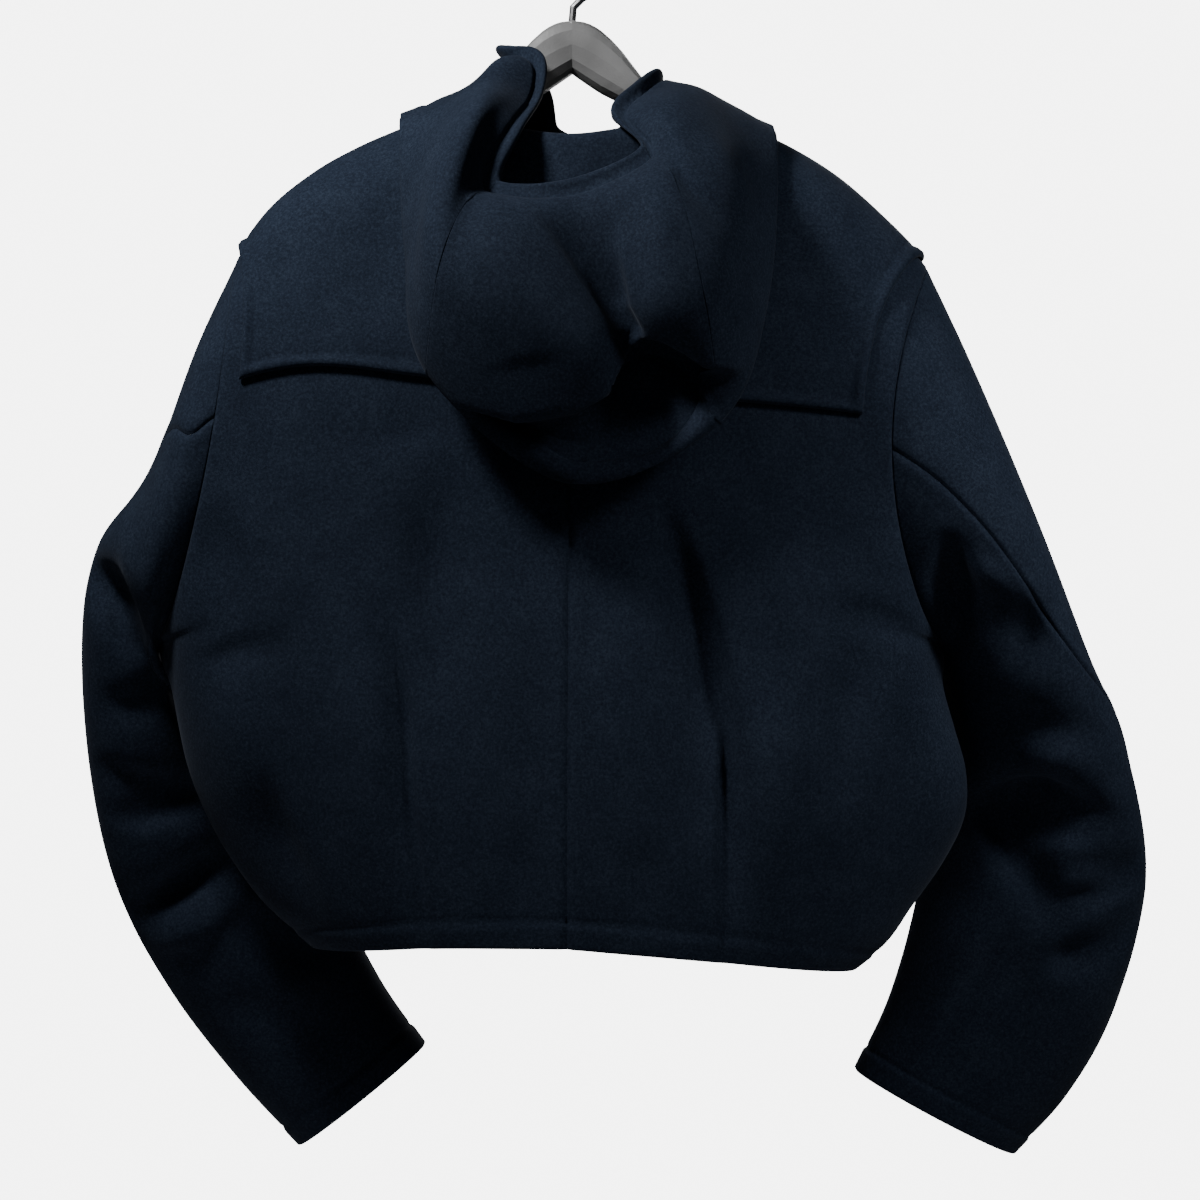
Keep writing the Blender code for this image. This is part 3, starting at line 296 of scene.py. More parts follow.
SLEEVE_CREASES = {
    (LEFT, BACK): listed(
        Crease,
        (((-318, -420), (-316, -442), (-306, -466), (-294, -500)), 16, 9, 15),
        (((-296, -400), (-292, -436), (-280, -480), (-268, -530)), 12, 9, -4),
        (((-250, -400), (-256, -440), (-262, -490)), 10, 12, -4),
        (((-330, -520), (-300, -524), (-268, -514), (-248, -524)), 12, 16, 5),
        (((-336, -562), (-296, -578), (-262, -584), (-232, -574)), 10, 16, 6.5),
        (((-332, -604), (-296, -614), (-262, -600), (-228, -604)), 12, 12, -4),
        (((-310, -668), (-286, -660), (-256, -640), (-216, -612)), 12, 9, 10),
        (((-304, -696), (-268, -686), (-236, -662), (-208, -646)), 16, 11, -5),
        (((-252, -656), (-226, -678), (-200, -702), (-170, -720)), 10, 18, 5),
        (((-256, -732), (-222, -744), (-190, -764), (-158, -796)), 18, 20, 4),
        (((-206, -700), (-186, -736), (-168, -762)), 16, 16, -3.5),
    ),
    (RIGHT, BACK): listed(
        Crease,
        (((240, -404), (252, -434), (258, -462), (256, -496)), 12, 12, 10),
        (((250, -424), (280, -440), (316, -462)), 9, 9, -5),
        (((306, -444), (300, -480), (282, -510), (262, -536)), 12, 14, 6),
        (((258, -520), (296, -534), (336, -546), (376, -544)), 14, 18, 6),
        (((276, -592), (308, -584), (348, -596), (390, -620)), 10, 14, 14),
        (((296, -560), (334, -560), (372, -580)), 14, 12, -7),
        (((274, -580), (294, -616), (314, -650), (336, -676)), 12, 12, 9),
        (((318, -632), (350, -622), (386, -636)), 11, 14, -8),
        (((326, -666), (356, -656), (392, -662)), 10, 13, 9),
        (((322, -708), (350, -696), (384, -702)), 11, 14, 5),
        (((306, -652), (284, -679), (266, -715), (242, -765), (228, -806)), 8, 26, -9),
        (((330, -674), (312, -710), (296, -750), (276, -796)), 20, 16, 4.5),
    ),
    (LEFT, FRONT): listed(
        Crease,
        (((-330, -470), (-300, -486), (-262, -500)), 12, 16, 7),
        (((-334, -545), (-296, -560), (-240, -556)), 12, 16, 7),
        (((-322, -606), (-280, -600), (-226, -616)), 14, 12, 6),
        (((-296, -672), (-250, -664), (-206, -644)), 12, 16, 5),
        (((-262, -390), (-280, -420), (-300, -440)), 12, 14, 5),
    ),
    (RIGHT, FRONT): listed(
        Crease,
        (((262, -470), (300, -482), (344, -500)), 12, 16, 7),
        (((266, -560), (312, -566), (368, -556)), 12, 16, 7),
        (((270, -622), (320, -636), (380, -630)), 14, 12, 6.5),
        (((256, -690), (300, -684), (352, -706)), 12, 16, 5),
        (((262, -380), (286, -410), (306, -440)), 12, 14, 5),
    ),
}
HOOD_CREASES = listed(
    Crease,
    (((-38, -118), (-50, -148), (-58, -184), (-64, -216), (-66, -250)), 10, 12, 5),
    (((-50, -124), (-62, -158), (-71, -182), (-79, -208), (-83, -246), (-78, -280)), 8, 14, -4),
    (((-48, -196), (-44, -238), (-22, -272), (0, -300), (-8, -326)), 24, 30, -6),
    (((50, -178), (56, -214), (60, -248), (74, -276), (94, -290), (112, -282)), 17, 13, -6),
    (((54, -146), (75, -190), (100, -222), (112, -258)), 7, 9, 4),
    (((84, -146), (102, -182), (122, -224)), 13, 12, -3),
    (((-96, -180), (-104, -240), (-98, -300)), 10, 12, 2),
)
YOKE_CREASES = listed(
    Crease,
    (((-118, -180), (-128, -230), (-122, -290)), 22, 26, 3),
    (((-176, -200), (-186, -244), (-178, -296)), 18, 18, 2.6),
    (((146, -195), (158, -240), (150, -305)), 22, 22, 3.4),
    (((198, -225), (192, -262), (196, -316)), 14, 18, 2.6),
)
# Creases fade out this far from the side seams, the lap, the yoke's edge, the armhole and the rim.
SIDE_FADE, LAP_FADE, YOKE_FADE, ARMHOLE_FADE, RIM_FADE = 40, 30, 30, 40, 12
SLEEVE_TURN, HOOD_TURN = 1.7, 3  # how soon a crease ends where the cloth turns to the other side
SLEEVE_HEAD, SLEEVE_EASE = 30, 60  # where below the armhole a sleeve's unevenness is eased, and how softly
SLEEVE_TIMES, HOOD_TIMES = 6, 10  # how often it is eased
# x and z of the lower edge of the hood's two rolls of cloth, and -z and x of the two sides of the slot
# between them.
HOOD_ROLLS = (
    (-110, -77, -35, 6, 25, 34, 44, 56, 69, 83, 106, 118, 135),
    (-318, -329, -341, -334, -324, -304, -288, -290, -297, -306, -308, -300, -282),
)
SLOT_LEFT = ((196, 208, 243, 268, 285, 302), (-36, -29, -2, 15, 27, 33))
SLOT_RIGHT = ((180, 222, 243, 270, 285), (42, 35.5, 36.5, 40, 48))
SLOT_TOP, SLOT_LENGTH, SLOT_DEPTH, SLOT_EDGE = -186, 100, 14, 13
RECESS_DEPTH, RECESS_EDGE, RECESS_END, RECESS_FADE = 25, 12, -396, 14
HOOD_STEPS = 6  # from the neck seam to the rim
HOOD_BACK = 0.72  # share of the way to the rim where the hood faces backwards
HOOD_OUTSIDE, HOOD_BLEND = 0.5, 0.08  # share of the way where its outer side starts
RIM_WIDTH, RIM_RISE, RIM_UNDER = 10.5, 5.6, 0.6  # the hood's thick edge, and its share on the inner face
RIM_GROOVE, GROOVE_WIDTH = 2.6, 2.2  # the pressed line beside it
HEM_TURN, HEM_RISE = 17, 0.9  # depth of the turned hem, and how far its doubled cloth stands out
HEM_STEP, HEM_LINE, HEM_WIDTH = 4, 0.8, 1.8  # its soft step, and the pressed line over it
WELT_LINE, WELT_PLACE, WELT_SPREAD = 0.5, 1.15, 0.22  # the same beside the yoke's edge, placed by its width
PIT_FILL, PIT_LEVEL, PIT_SPREAD, PIT_INTO = 6.5, -490, 18, 30  # the body's side under the armholes

# Camera: its place, its sensor, and how far away it sees how wide a view, in metres.
CAMERA, SENSOR, VIEW_AWAY, VIEW_WIDTH = (18.85, -1880, -453.7), 36, 1.8, 0.78
# Lamps: places and size in metres, power in watts, spread in degrees.
Lamp = namedtuple("Lamp", "name place target size watts spread")
LAMPS = listed(
    Lamp,
    ("key", (-0.52, -0.46, 0.4), (0, -0.1, -0.32), 0.16, 12.5, 180),
    ("right", (0.8, -0.55, 0.2), (0.35, 0, -0.42), 0.2, 1, 56),
    ("fill", (0.2, -2, 0.1), (0, 0, -0.55), 0.9, 0.8, 180),
    ("front", (0.5, 2.1, 0.3), (0, 0, -0.4), 1.2, 16, 180),
)
SKY_SEEN, SKY_LIT = 6, 0.02  # how bright the background looks, and how much it lights
FLOOR_RADIUS, FLOOR_SIDES, FLOOR_Z = 1.3, 96, -1.25


def curve(keys, values, at):
    """Smooth curve through the values at the keys, with three-point slopes."""
    keys = np.asarray(keys, float)
    values = np.asarray(values, float).reshape(len(keys), -1)
    at = np.clip(np.asarray(at, float), keys[0], keys[-1])
    step = np.diff(keys)[:, None]
    rise = np.diff(values, axis=0) / step
    middle = (rise[:-1] * step[1:] + rise[1:] * step[:-1]) / (step[1:] + step[:-1])
    slope = np.concatenate([rise[:1], middle, rise[-1:]])
    i = np.clip(np.searchsorted(keys, at, side="right") - 1, 0, len(keys) - 2)
    h = step[i]
    t = ((at - keys[i]) / h[..., 0])[..., None]
    return bridged(values[i], slope[i] * h, values[i + 1], slope[i + 1] * h, t)


def bridged(start, out, end, into, t):
    """Smooth curve from a start to an end, with its slopes out of the one and into the other."""
    first = start * (1 + 2 * t) * (1 - t) ** 2 + out * t * (1 - t) ** 2
    return first + end * t**2 * (3 - 2 * t) + into * t**2 * (t - 1)


def column(table, key, name, at):
    """One named column of a table, read at values of its key column."""
    return curve([getattr(row, key) for row in table], [getattr(row, name) for row in table], at)[..., 0]


def matched(a, b):
    return np.broadcast_arrays(np.asarray(a, float), np.asarray(b, float))


def shifted(points, axis, shift):
    """The points moved by a shift along an axis."""
    points = points.copy()
    points[..., axis] += shift
    return points


def lerp(a, b, t):
    return a + (b - a) * t


def smooth(t):
    t = np.clip(t, 0, 1)
    return t * t * (3 - 2 * t)


def bell(distance, width):
    """1 at no distance, falling smoothly away over a width."""
    return np.exp(-((distance / width) ** 2))


def name_of(side):
    return "left" if side == LEFT else "right"


def fold_depth(points, folds):
    """How far straight folds, seen from behind, sink a surface at each point."""
    x, z = points[..., 0], points[..., 2]
    total = np.zeros_like(x)
    for fold in folds:
        run_x, run_z = fold.end_x - fold.x, fold.end_z - fold.z
        share = ((x - fold.x) * run_x + (z - fold.z) * run_z) / (run_x**2 + run_z**2)
        near = np.clip(share, 0, 1)
        away = np.hypot(x - fold.x - near * run_x, z - fold.z - near * run_z)
        total += fold.depth * bell(away, fold.width)
    return total


def ring_point(side, ring, angle):
    """Outer face of a sleeve, for a ring number and an angle from its outer edge by way of the back."""
    table = SLEEVES[side]
    ring, angle = matched(ring, angle)
    o_x, o_z, i_x, i_z, y, half, bow, twist = np.moveaxis(curve(range(len(table)), table, ring), -1, 0)
    across_x, across_z = (o_x - i_x) / 2, (o_z - i_z) / 2
    pull = bow * np.sin(angle) ** 2 / np.hypot(across_x, across_z)
    x = (o_x + i_x) / 2 + across_x * np.cos(angle) - side * across_z * pull
    z = (o_z + i_z) / 2 + across_z * np.cos(angle) + side * across_x * pull
    pear = 1 + ARMHOLE_PEAR * np.maximum(1 - ring / ARMHOLE_RINGS, 0) * np.cos(angle)
    return np.stack([x, y - half * pear * np.sin(angle) - twist * np.cos(angle), z], axis=-1)


def sleeve_point(side, ring, angle):
    """Outer face of a sleeve with its folds, kept off the body's side."""
    points = ring_point(side, ring, angle)
    ring, angle = matched(ring, angle)
    sunk = fold_depth(points, SLEEVE_FOLDS[side]) * smooth(np.sin(angle) * FOLD_TURN) * smooth(ring)
    points = shifted(points, 1, sunk)
    x, y, z = np.moveaxis(points, -1, 0)
    reach = column(SIDES, "z", name_of(side), z)
    square = column(DEPTHS, "z", "square", z) + SIDE_SQUARE * smooth((z - ARM_LOW) / ARM_RISE)
    depth = np.where(y < 0, column(DEPTHS, "z", "back", z), column(DEPTHS, "z", "front", z))
    body = reach * np.maximum(1 - (np.abs(y) / depth) ** square, 0) ** (1 / square)
    below = SLEEVES[side][0].inner_z - z
    clear = lerp(PIT_CLEAR, SIDE_CLEAR, smooth(below / PIT_REACH))
    short = body + clear - side * x
    push = 0.5 * (short + np.sqrt(short**2 + clear**2)) * smooth(ring * 2)
    push *= smooth((below + SIDE_EASE) / SIDE_EASE) * (body > 0)
    return shifted(points, 0, side * push)


def side_edge(side, face, v):
    """Outer edge of a body panel: the side seam, then the armhole."""
    bottom = SLEEVES[side][0].inner_z
    share = np.clip((v - ARMPIT_SHARE) / (1 - ARMPIT_SHARE), 0, 1)
    armhole = ring_point(side, 0, math.pi + face * math.pi * share)
    z = lerp(getattr(HEMS[-1], name_of(side)), bottom, np.clip(v / ARMPIT_SHARE, 0, 1))
    x = side * column(SIDES, "z", name_of(side), z)
    seam = np.stack([x, np.zeros_like(x), z], axis=-1)
    return np.where((v > ARMPIT_SHARE)[..., None], armhole, seam)


def top_edge(side, face, u):
    """Top edge of a body panel: the neckline, then the shoulder ridge."""
    turn = np.clip(u / NECK_SHARE, 0, 1) * math.pi / 2
    out = np.clip((u - NECK_SHARE) / (1 - NECK_SHARE), 0, 1)
    ridge_x = column(SHOULDERS, "step", name_of(side) + "_x", out)
    ridge_z = column(SHOULDERS, "step", name_of(side) + "_z", out)
    neck_z, depth = NECKS[face]
    x = side * ridge_x * np.sin(turn)
    z = lerp(neck_z, ridge_z, np.sin(turn) ** 2)
    y = face * depth * np.cos(turn)
    return np.stack([x, y, z], axis=-1)


def body_point(side, face, u, v):
    """Outer face of a body panel: u runs from its middle to its side, v from the hem to the shoulder."""
    u, v = matched(u, v)
    across = np.abs(u)
    edge, top = side_edge(side, face, v), top_edge(side, face, across)
    tip = top_edge(side, face, np.array(1.0))
    hem_z = column(HEMS, "step", name_of(side), across)
    hem_side = getattr(HEMS[-1], name_of(side))
    neck_z = NECKS[face][0]
    x = across * edge[..., 0] + v * (top[..., 0] - across * tip[0])
    z = lerp(lerp(HEM_MIDDLE, neck_z, v), edge[..., 2], across)
    z += (1 - v) * (hem_z - lerp(HEM_MIDDLE, hem_side, across))
    z += v * (top[..., 2] - lerp(neck_z, tip[2], across))
    depth = column(DEPTHS, "z", "back" if face == BACK else "front", z)
    square = column(DEPTHS, "z", "square", z)
    bulge = np.maximum(1 - across**square, 0) ** (1 / square)
    over = np.clip((v - RIDGE_SHARE) / (1 - RIDGE_SHARE), 0, 1)
    fall = np.sqrt(1 - over**2)
    below_ridge = np.sin(math.pi / 2 * np.clip((1 - v) / ARMPIT_SHARE, 0, 1))
    inner_arm = ARM_DEPTH * smooth((z - ARM_LOW) / ARM_RISE) * below_ridge
    arm = lerp(inner_arm, np.abs(edge[..., 1]), across**ARM_REACH)
    y = arm + (depth - arm) * bulge * fall + np.abs(top[..., 1]) * (1 - fall)
    x = np.where(u < 0, -x, x) + MIDDLE_X * (1 - across) * (1 - v)
    return np.stack([x, face * y, z], axis=-1)


def height_share(side, face, u, z):
    """v of the body panel's point at a given u and height, by Newton steps."""
    v = (np.asarray(z, float) - HEM_MIDDLE) / (NECKS[face][0] - HEM_MIDDLE) + 0 * np.asarray(u, float)
    step = NORMAL_STEP
    for _ in range(NEWTON_STEPS):
        here = body_point(side, face, u, v)[..., 2]
        rise = (body_point(side, face, u, v + step)[..., 2] - here) / step
        v = np.clip(v + (z - here) / rise, 0, 1 - step)
    return v


def body_over(side, face, x, z):
    """u and v of the body panel's point at a given x and height, by Newton steps."""
    u = np.abs(np.asarray(x, float)) / SIDES[-1].right
    v = (np.asarray(z, float) - HEM_MIDDLE) / (NECKS[face][0] - HEM_MIDDLE)
    step = NORMAL_STEP
    for _ in range(NEWTON_STEPS):
        here = body_point(side, face, u, v)
        by_u = (body_point(side, face, u + step, v) - here) / step
        by_v = (body_point(side, face, u, v + step) - here) / step
        miss_x, miss_z = x - here[..., 0], z - here[..., 2]
        scale = by_u[..., 0] * by_v[..., 2] - by_v[..., 0] * by_u[..., 2]
        u = np.clip(u + (miss_x * by_v[..., 2] - miss_z * by_v[..., 0]) / scale, 0, 1 - step)
        v = np.clip(v + (miss_z * by_u[..., 0] - miss_x * by_u[..., 2]) / scale, 0, 1 - step)
    return u, v


def lap_share(side, v):
    """Share of the panel's width that the front's lap takes past the middle."""
    tip = abs(top_edge(side, FRONT, np.array(1.0))[0])
    neck_rate = math.pi / 2 * SHOULDERS[0].left_x / NECK_SHARE
    return FRONT_LAP / (np.abs(side_edge(side, FRONT, v)[..., 0]) + v * (neck_rate - tip))


def yoke_bottom(side, face, u):
    """v of the yoke's bottom edge."""
    return height_share(side, face, u, column(YOKE_BOTTOM, "u", name_of(side), np.abs(u)))


def front_point(side, step, v):
    """Outer face of a front, whose negative steps cross its lap. The left front lies over the right one."""
    step, v = matched(step, v)
    points = body_point(side, FRONT, np.where(step < 0, step * lap_share(side, v), step), v)
    if side == RIGHT:
        return points
    across = smooth((points[..., 0] + FRONT_LAP + LAP_EASE) / LAP_EASE)
    low = yoke_bottom(RIGHT, FRONT, np.array(0.0))
    on_yoke = smooth((v - low + 2 * YOKE_EASE) / YOKE_EASE)
    lift = across * (LAYER + LAP_CLEAR + on_yoke * (LAYER + WELT_RISE))
    return shifted(points, 1, lift)


def neck_point(angle):
    """Neckline, for angles in degrees from the middle of the back, negative to the left."""
    angle = np.asarray(angle, float)
    behind = np.abs(angle) <= 90
    share = np.where(behind, np.abs(angle), 180 - np.abs(angle)) / 90 * NECK_SHARE
    corners = {(s, f): top_edge(s, f, share) for s in (LEFT, RIGHT) for f in (BACK, FRONT)}
    left = np.where(behind[..., None], corners[LEFT, BACK], corners[LEFT, FRONT])
    right = np.where(behind[..., None], corners[RIGHT, BACK], corners[RIGHT, FRONT])
    return np.where((angle < 0)[..., None], left, right) + [0, 0, HOOD_STAND]


def hood_controls():
    """Each rib's points: neck seam, roll, fall, turn, bulge, crown and rim."""
    rows = np.array(HOOD, float)
    angle = np.radians(rows[:, 0])
    neck = neck_point(rows[:, 0])
    turn, bulge, crown, rim = (rows[:, k : k + 3] for k in (1, 4, 7, 10))
    rise = ROLL_UP * lerp(np.cos(angle) ** 2, 1, ROLL_SIDES)
    outwards = np.stack([np.sin(angle) * ROLL_OUT, -np.cos(angle) * ROLL_OUT, rise], axis=-1)
    behind = smooth((math.radians(ROLL_FRONT) - np.abs(angle)) / math.radians(ROLL_EASE))[:, None]
    roll = lerp(lerp(neck, turn, 1 / 3), neck + outwards, behind)
    fall = lerp(roll, turn, 0.5)
    for place, low in zip(fall, turn):
        if low[1] < FALL_FROM:
            side = LEFT if place[0] < 0 else RIGHT
            on_back = body_point(side, BACK, *body_over(side, BACK, place[0], place[2]))
            place[1] = min(place[1], on_back[1] - FALL_CLEAR)
    return np.stack([neck, roll, fall, turn, bulge, crown, rim], axis=1)


CONTROLS = {}


def hood_point(rib, step):
    """Outer face of the hood, for a rib number and a step from the neck seam (0) to the rim (6)."""
    if "hood" not in CONTROLS:
        CONTROLS["hood"] = hood_controls()
    controls = CONTROLS["hood"]
    rib, step = matched(rib, step)
    places = curve(range(len(HOOD)), controls.reshape(len(HOOD), -1), rib).reshape(*rib.shape, -1, 3)
    last = controls.shape[1] - 1
    ahead = 2 * places[..., :1, :] - places[..., 1:2, :]
    beyond = 2 * places[..., -1:, :] - places[..., -2:-1, :]
    places = np.concatenate([ahead, places, beyond], axis=-2)
    first = np.clip(np.floor(step).astype(int), 0, last - 1)
    t = (step - first)[..., None]
    four = [np.take_along_axis(places, (first + k)[..., None, None], axis=-2)[..., 0, :] for k in range(4)]
    before, start, end, after = four
    points = bridged(start, (end - before) / 2, end, (after - start) / 2, t)
    return shifted(points, 1, valley_depth(points) * smooth((step - VALLEY_STEP) / VALLEY_EASE))


def valley_depth(points):
    """How far the valley between the hood's lobes sinks its outer side at each point."""
    along = np.linspace(HOOD_VALLEY[0].z, HOOD_VALLEY[-1].z, VALLEY_LINES)[::-1]
    table = HOOD_VALLEY[::-1]
    lines = {name: column(table, "z", name, along) for name in ("x", "width", "depth")}
    x, z = points[..., 0, None], points[..., 2, None]
    away = np.hypot(x - lines["x"], z - along)
    return np.max(lines["depth"] * bell(away, lines["width"]), axis=-1)


def crease_depth(points, creases):
    """How far creases sink a surface at each point."""
    x, z = points[..., 0], points[..., 2]
    total = np.zeros_like(x)
    for crease in creases:
        path = np.asarray(crease.path, float)
        length = np.concatenate([[0], np.cumsum(np.hypot(*np.diff(path, axis=0).T))])
        line = curve(length, path, np.linspace(0, length[-1], 6 * len(path)))
        lowest, highest = line.min(axis=0) - CREASE_REACH, line.max(axis=0) + CREASE_REACH
        near = (x > lowest[0]) & (x < highest[0]) & (z > lowest[1]) & (z < highest[1])
        run = np.diff(line, axis=0)
        square = np.sum(run**2, axis=1)
        from_x, from_z = x[near][:, None] - line[:-1, 0], z[near][:, None] - line[:-1, 1]
        share = np.clip((from_x * run[:, 0] + from_z * run[:, 1]) / square, 0, 1)
        off_x, off_z = from_x - share * run[:, 0], from_z - share * run[:, 1]
        away = np.hypot(off_x, off_z)
        best = np.argmin(away, axis=1)
        row = np.arange(len(best))
        side = (run[best, 0] * off_z[row, best] - run[best, 1] * off_x[row, best]) / np.sqrt(square[best])
        width = lerp(crease.right, crease.left, smooth(0.5 + side / (crease.left + crease.right)))
        along = (best + share[row, best]) / len(run)
        width = width * lerp(START_WIDTH, 2 - START_WIDTH, along)
        taper = smooth(along / PEAK) * smooth((1 - along) / (1 - PEAK))
        total[near] += crease.depth * taper * bell(away[row, best], width)
    return total


def first_lines(length):
    return EDGE_LINES[:-1] / length


def spans(length):
    """Shares of a length for a piece's lines, finer along both edges."""
    start = EDGE_LINES[-1] / length
    inner = np.linspace(start, 1 - start, int(length / PITCH))
    return np.concatenate([first_lines(length), inner, 1 - first_lines(length)[::-1]])


def half_spans(length, count):
    """The same with finer lines along the first edge only."""
    return np.concatenate([first_lines(length), np.linspace(EDGE_LINES[-1] / length, 1, count)])


def lined(surface, grid, shares=None):
    """Points on a surface of two shares, placed by shares of the length of each line, down and across."""
    points = surface(*np.meshgrid(np.linspace(0, 1, grid.columns), np.linspace(0, 1, grid.rows)))
    for share in shares or (spans(grid.down), spans(grid.across)):
        steps = np.linalg.norm(np.diff(points, axis=0), axis=-1)
        length = np.concatenate([0 * steps[:1], np.cumsum(steps, axis=0)])
        lines = []
        for line, at in zip(points.swapaxes(0, 1), length.T):
            lines.append([np.interp(share * at[-1], at, line[:, k]) for k in range(3)])
        points = np.array(lines).transpose(0, 2, 1)
    return points


def relaxed(points, times):
    """A grid of points with its small unevenness eased, its borders kept."""
    points = points.copy()
    for _ in range(times):
        around = points[:-2, 1:-1] + points[2:, 1:-1] + points[1:-1, :-2] + points[1:-1, 2:]
        points[1:-1, 1:-1] = 0.5 * points[1:-1, 1:-1] + 0.125 * around
    return points


def grid_normals(points):
    """Unit normals of a grid, all on the same side."""
    normals = np.cross(np.gradient(points, axis=0), np.gradient(points, axis=1))
    return normals / np.maximum(np.linalg.norm(normals, axis=-1, keepdims=True), 1e-9)


def turned(normals, toward):
    """The normals, on the side that a direction gives at the grid's middle."""
    rows, columns = normals.shape[:2]
    return normals * np.sign(normals[rows // 2, columns // 2] @ np.asarray(toward, float))


def sink(points, normals, depth):
    """A grid of points sunk along its normals, and the normals it has then."""
    points = points - normals * depth[..., None]
    after = grid_normals(points)
    return points, after * np.sign(np.sum(after * normals))


def border_distance(points):
    """Distance over the cloth to the first row, the last row, the first column and the last column."""
    down, across = (np.linalg.norm(np.diff(points, axis=k), axis=-1) for k in (0, 1))
    down = np.concatenate([0 * points[:1, :, 0], np.cumsum(down, axis=0)])
    across = np.concatenate([0 * points[:, :1, 0], np.cumsum(across, axis=1)], axis=1)
    return down, down[-1:] - down, across, across[:, -1:] - across


def drop(distance, radius):
    """How far a rounded edge falls away at a distance from it."""
    near = np.clip(radius - distance, 0, radius)
    return radius - np.sqrt(np.maximum(radius**2 - near**2, 0))


def grid_quads(rows, columns):
    index = np.arange(rows * columns).reshape(rows, columns)
    corners = [index[:-1, :-1], index[1:, :-1], index[1:, 1:], index[:-1, 1:]]
    return np.stack(corners, axis=-1).reshape(-1, 4)


def flat(points):
    return points.reshape(-1, points.shape[-1])


def layers(points, normals, height, edge, under=0):
    """Outer and inner face of a cloth. The outer one stands off by a height, and has round edges."""
    thick = WALL + under
    radius = (thick + np.maximum(height, 0)) / 2 - EDGE_GAP
    fall = np.minimum(drop(edge, radius), radius)
    return points + normals * (height - fall)[..., None], points - normals * (thick - fall)[..., None]


def shell(name, node, outer, inner, quads, normals, uv, material):
    """A closed shell of cloth in place of a solid, from two layers that share their faces."""
    points = outer[quads]
    turn = np.cross(points[:, 2] - points[:, 0], points[:, 3] - points[:, 1])
    if np.sum(turn * normals[quads[:, 0]]) < 0:
        quads = quads[:, ::-1]
    count = len(outer)
    ends = np.concatenate([quads[:, [k, (k + 1) % 4]] for k in range(4)]).astype(np.int64)
    forward, backward = ends[:, 0] * count + ends[:, 1], ends[:, 1] * count + ends[:, 0]
    start, end = ends[~np.isin(forward, backward)].T
    walls = np.stack([end, start, start + count, end + count], axis=-1)
    mesh = bpy.data.meshes.new(name)
    faces = np.concatenate([quads, quads[:, ::-1] + count, walls])
    mesh.from_pydata((np.concatenate([outer, inner]) * MM).tolist(), [], faces.tolist())
    mesh.update()
    mesh.materials.append(material)
    mesh.shade_smooth()
    layer = mesh.uv_layers.new(name="cloth")
    corners = np.empty(len(mesh.loops), np.int32)
    mesh.loops.foreach_get("vertex_index", corners)
    layer.data.foreach_set("uv", np.concatenate([uv, uv])[corners].ravel() * MM)
    piece = linked(name, mesh)
    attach(piece, "root")
    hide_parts(node)


def linked(name, data):
    made = bpy.data.objects.new(name, data)
    bpy.context.scene.collection.objects.link(made)
    return made


def cloth(node, points, normals, height, material, pressed=(), under=0, press=1):
    """A piece on a grid of points. The borders in pressed, counted from the first row, are flat seams."""
    edges = border_distance(points)
    edge = np.minimum.reduce([edges[k] for k in range(4) if k not in pressed])
    outer, inner = layers(points, normals, height, edge, under)
    for k in pressed:
        raised = press * PRESS_RISE * bell(edges[k] - PRESS_REACH, PRESS_REACH)
        sunk = (PRESS_DEPTH * press + PRESS_GAP) * bell(edges[k], PRESS_WIDTH)
        outer = outer + normals * (raised - sunk)[..., None]
    uv = flat(np.stack([edges[2], edges[0]], axis=-1))
    quads = grid_quads(*height.shape)
    shell("cloth_" + node, node, flat(outer), flat(inner), quads, flat(normals), uv, material)


def roll_height(distance, width, rise):
    """Height of a rolled edge at a distance from it."""
    return rise * np.sqrt(np.clip(1 - (2 * distance / width - 1) ** 2, 0, 1)) * (distance < width)


def hem_height(up):
    """The doubled cloth of a turned hem, and the pressed line over it."""
    doubled = HEM_RISE * (1 - smooth((up - HEM_TURN) / HEM_STEP + 0.5))
    return doubled - HEM_LINE * bell(up - HEM_TURN - 1, HEM_WIDTH)


def filled(points, side, aside):
    """The body's side swelled towards the sleeve where the armhole's lowest point leaves a gap."""
    swell = PIT_FILL * bell(points[..., 2] - PIT_LEVEL, PIT_SPREAD) * smooth(1 - aside / PIT_INTO)
    return shifted(points, 0, side * swell)


def panel_point(side, face, u, v):
    """Outer face of a whole panel, the front's with its lap."""
    if face == BACK:
        return body_point(side, face, u, v)
    lap = FRONT_LAP / PANEL_WIDTH
    u = lerp(-lap, 1, u)
    return front_point(side, np.where(u < 0, u / lap, u), v)


def dress_body(material):
    for part, face, grid, creases, pressed in (
        ("back", BACK, BACK_GRID, BACK_CREASES, (2,)),
        ("front", FRONT, FRONT_GRID, FRONT_CREASES, ()),
    ):
        for side in (LEFT, RIGHT):
            points = lined(lambda u, v: panel_point(side, face, u, v), grid)
            points[..., 1] = face * np.maximum(face * points[..., 1], SIDE_GAP)
            if face == BACK:
                points[:, 0, 0] -= side * MIDDLE_LAP
            normals = turned(grid_normals(points), (0, face, 0))
            up, _, across, aside = border_distance(points)
            points = filled(points, side, aside)
            clear = smooth(aside / SIDE_FADE)
            if face == FRONT:
                clear *= smooth((across - FRONT_LAP) / LAP_FADE)
            points, normals = sink(points, normals, crease_depth(points, creases) * clear)
            cloth(f"{part}_{name_of(side)}", points, normals, FACE + hem_height(up), material, pressed)


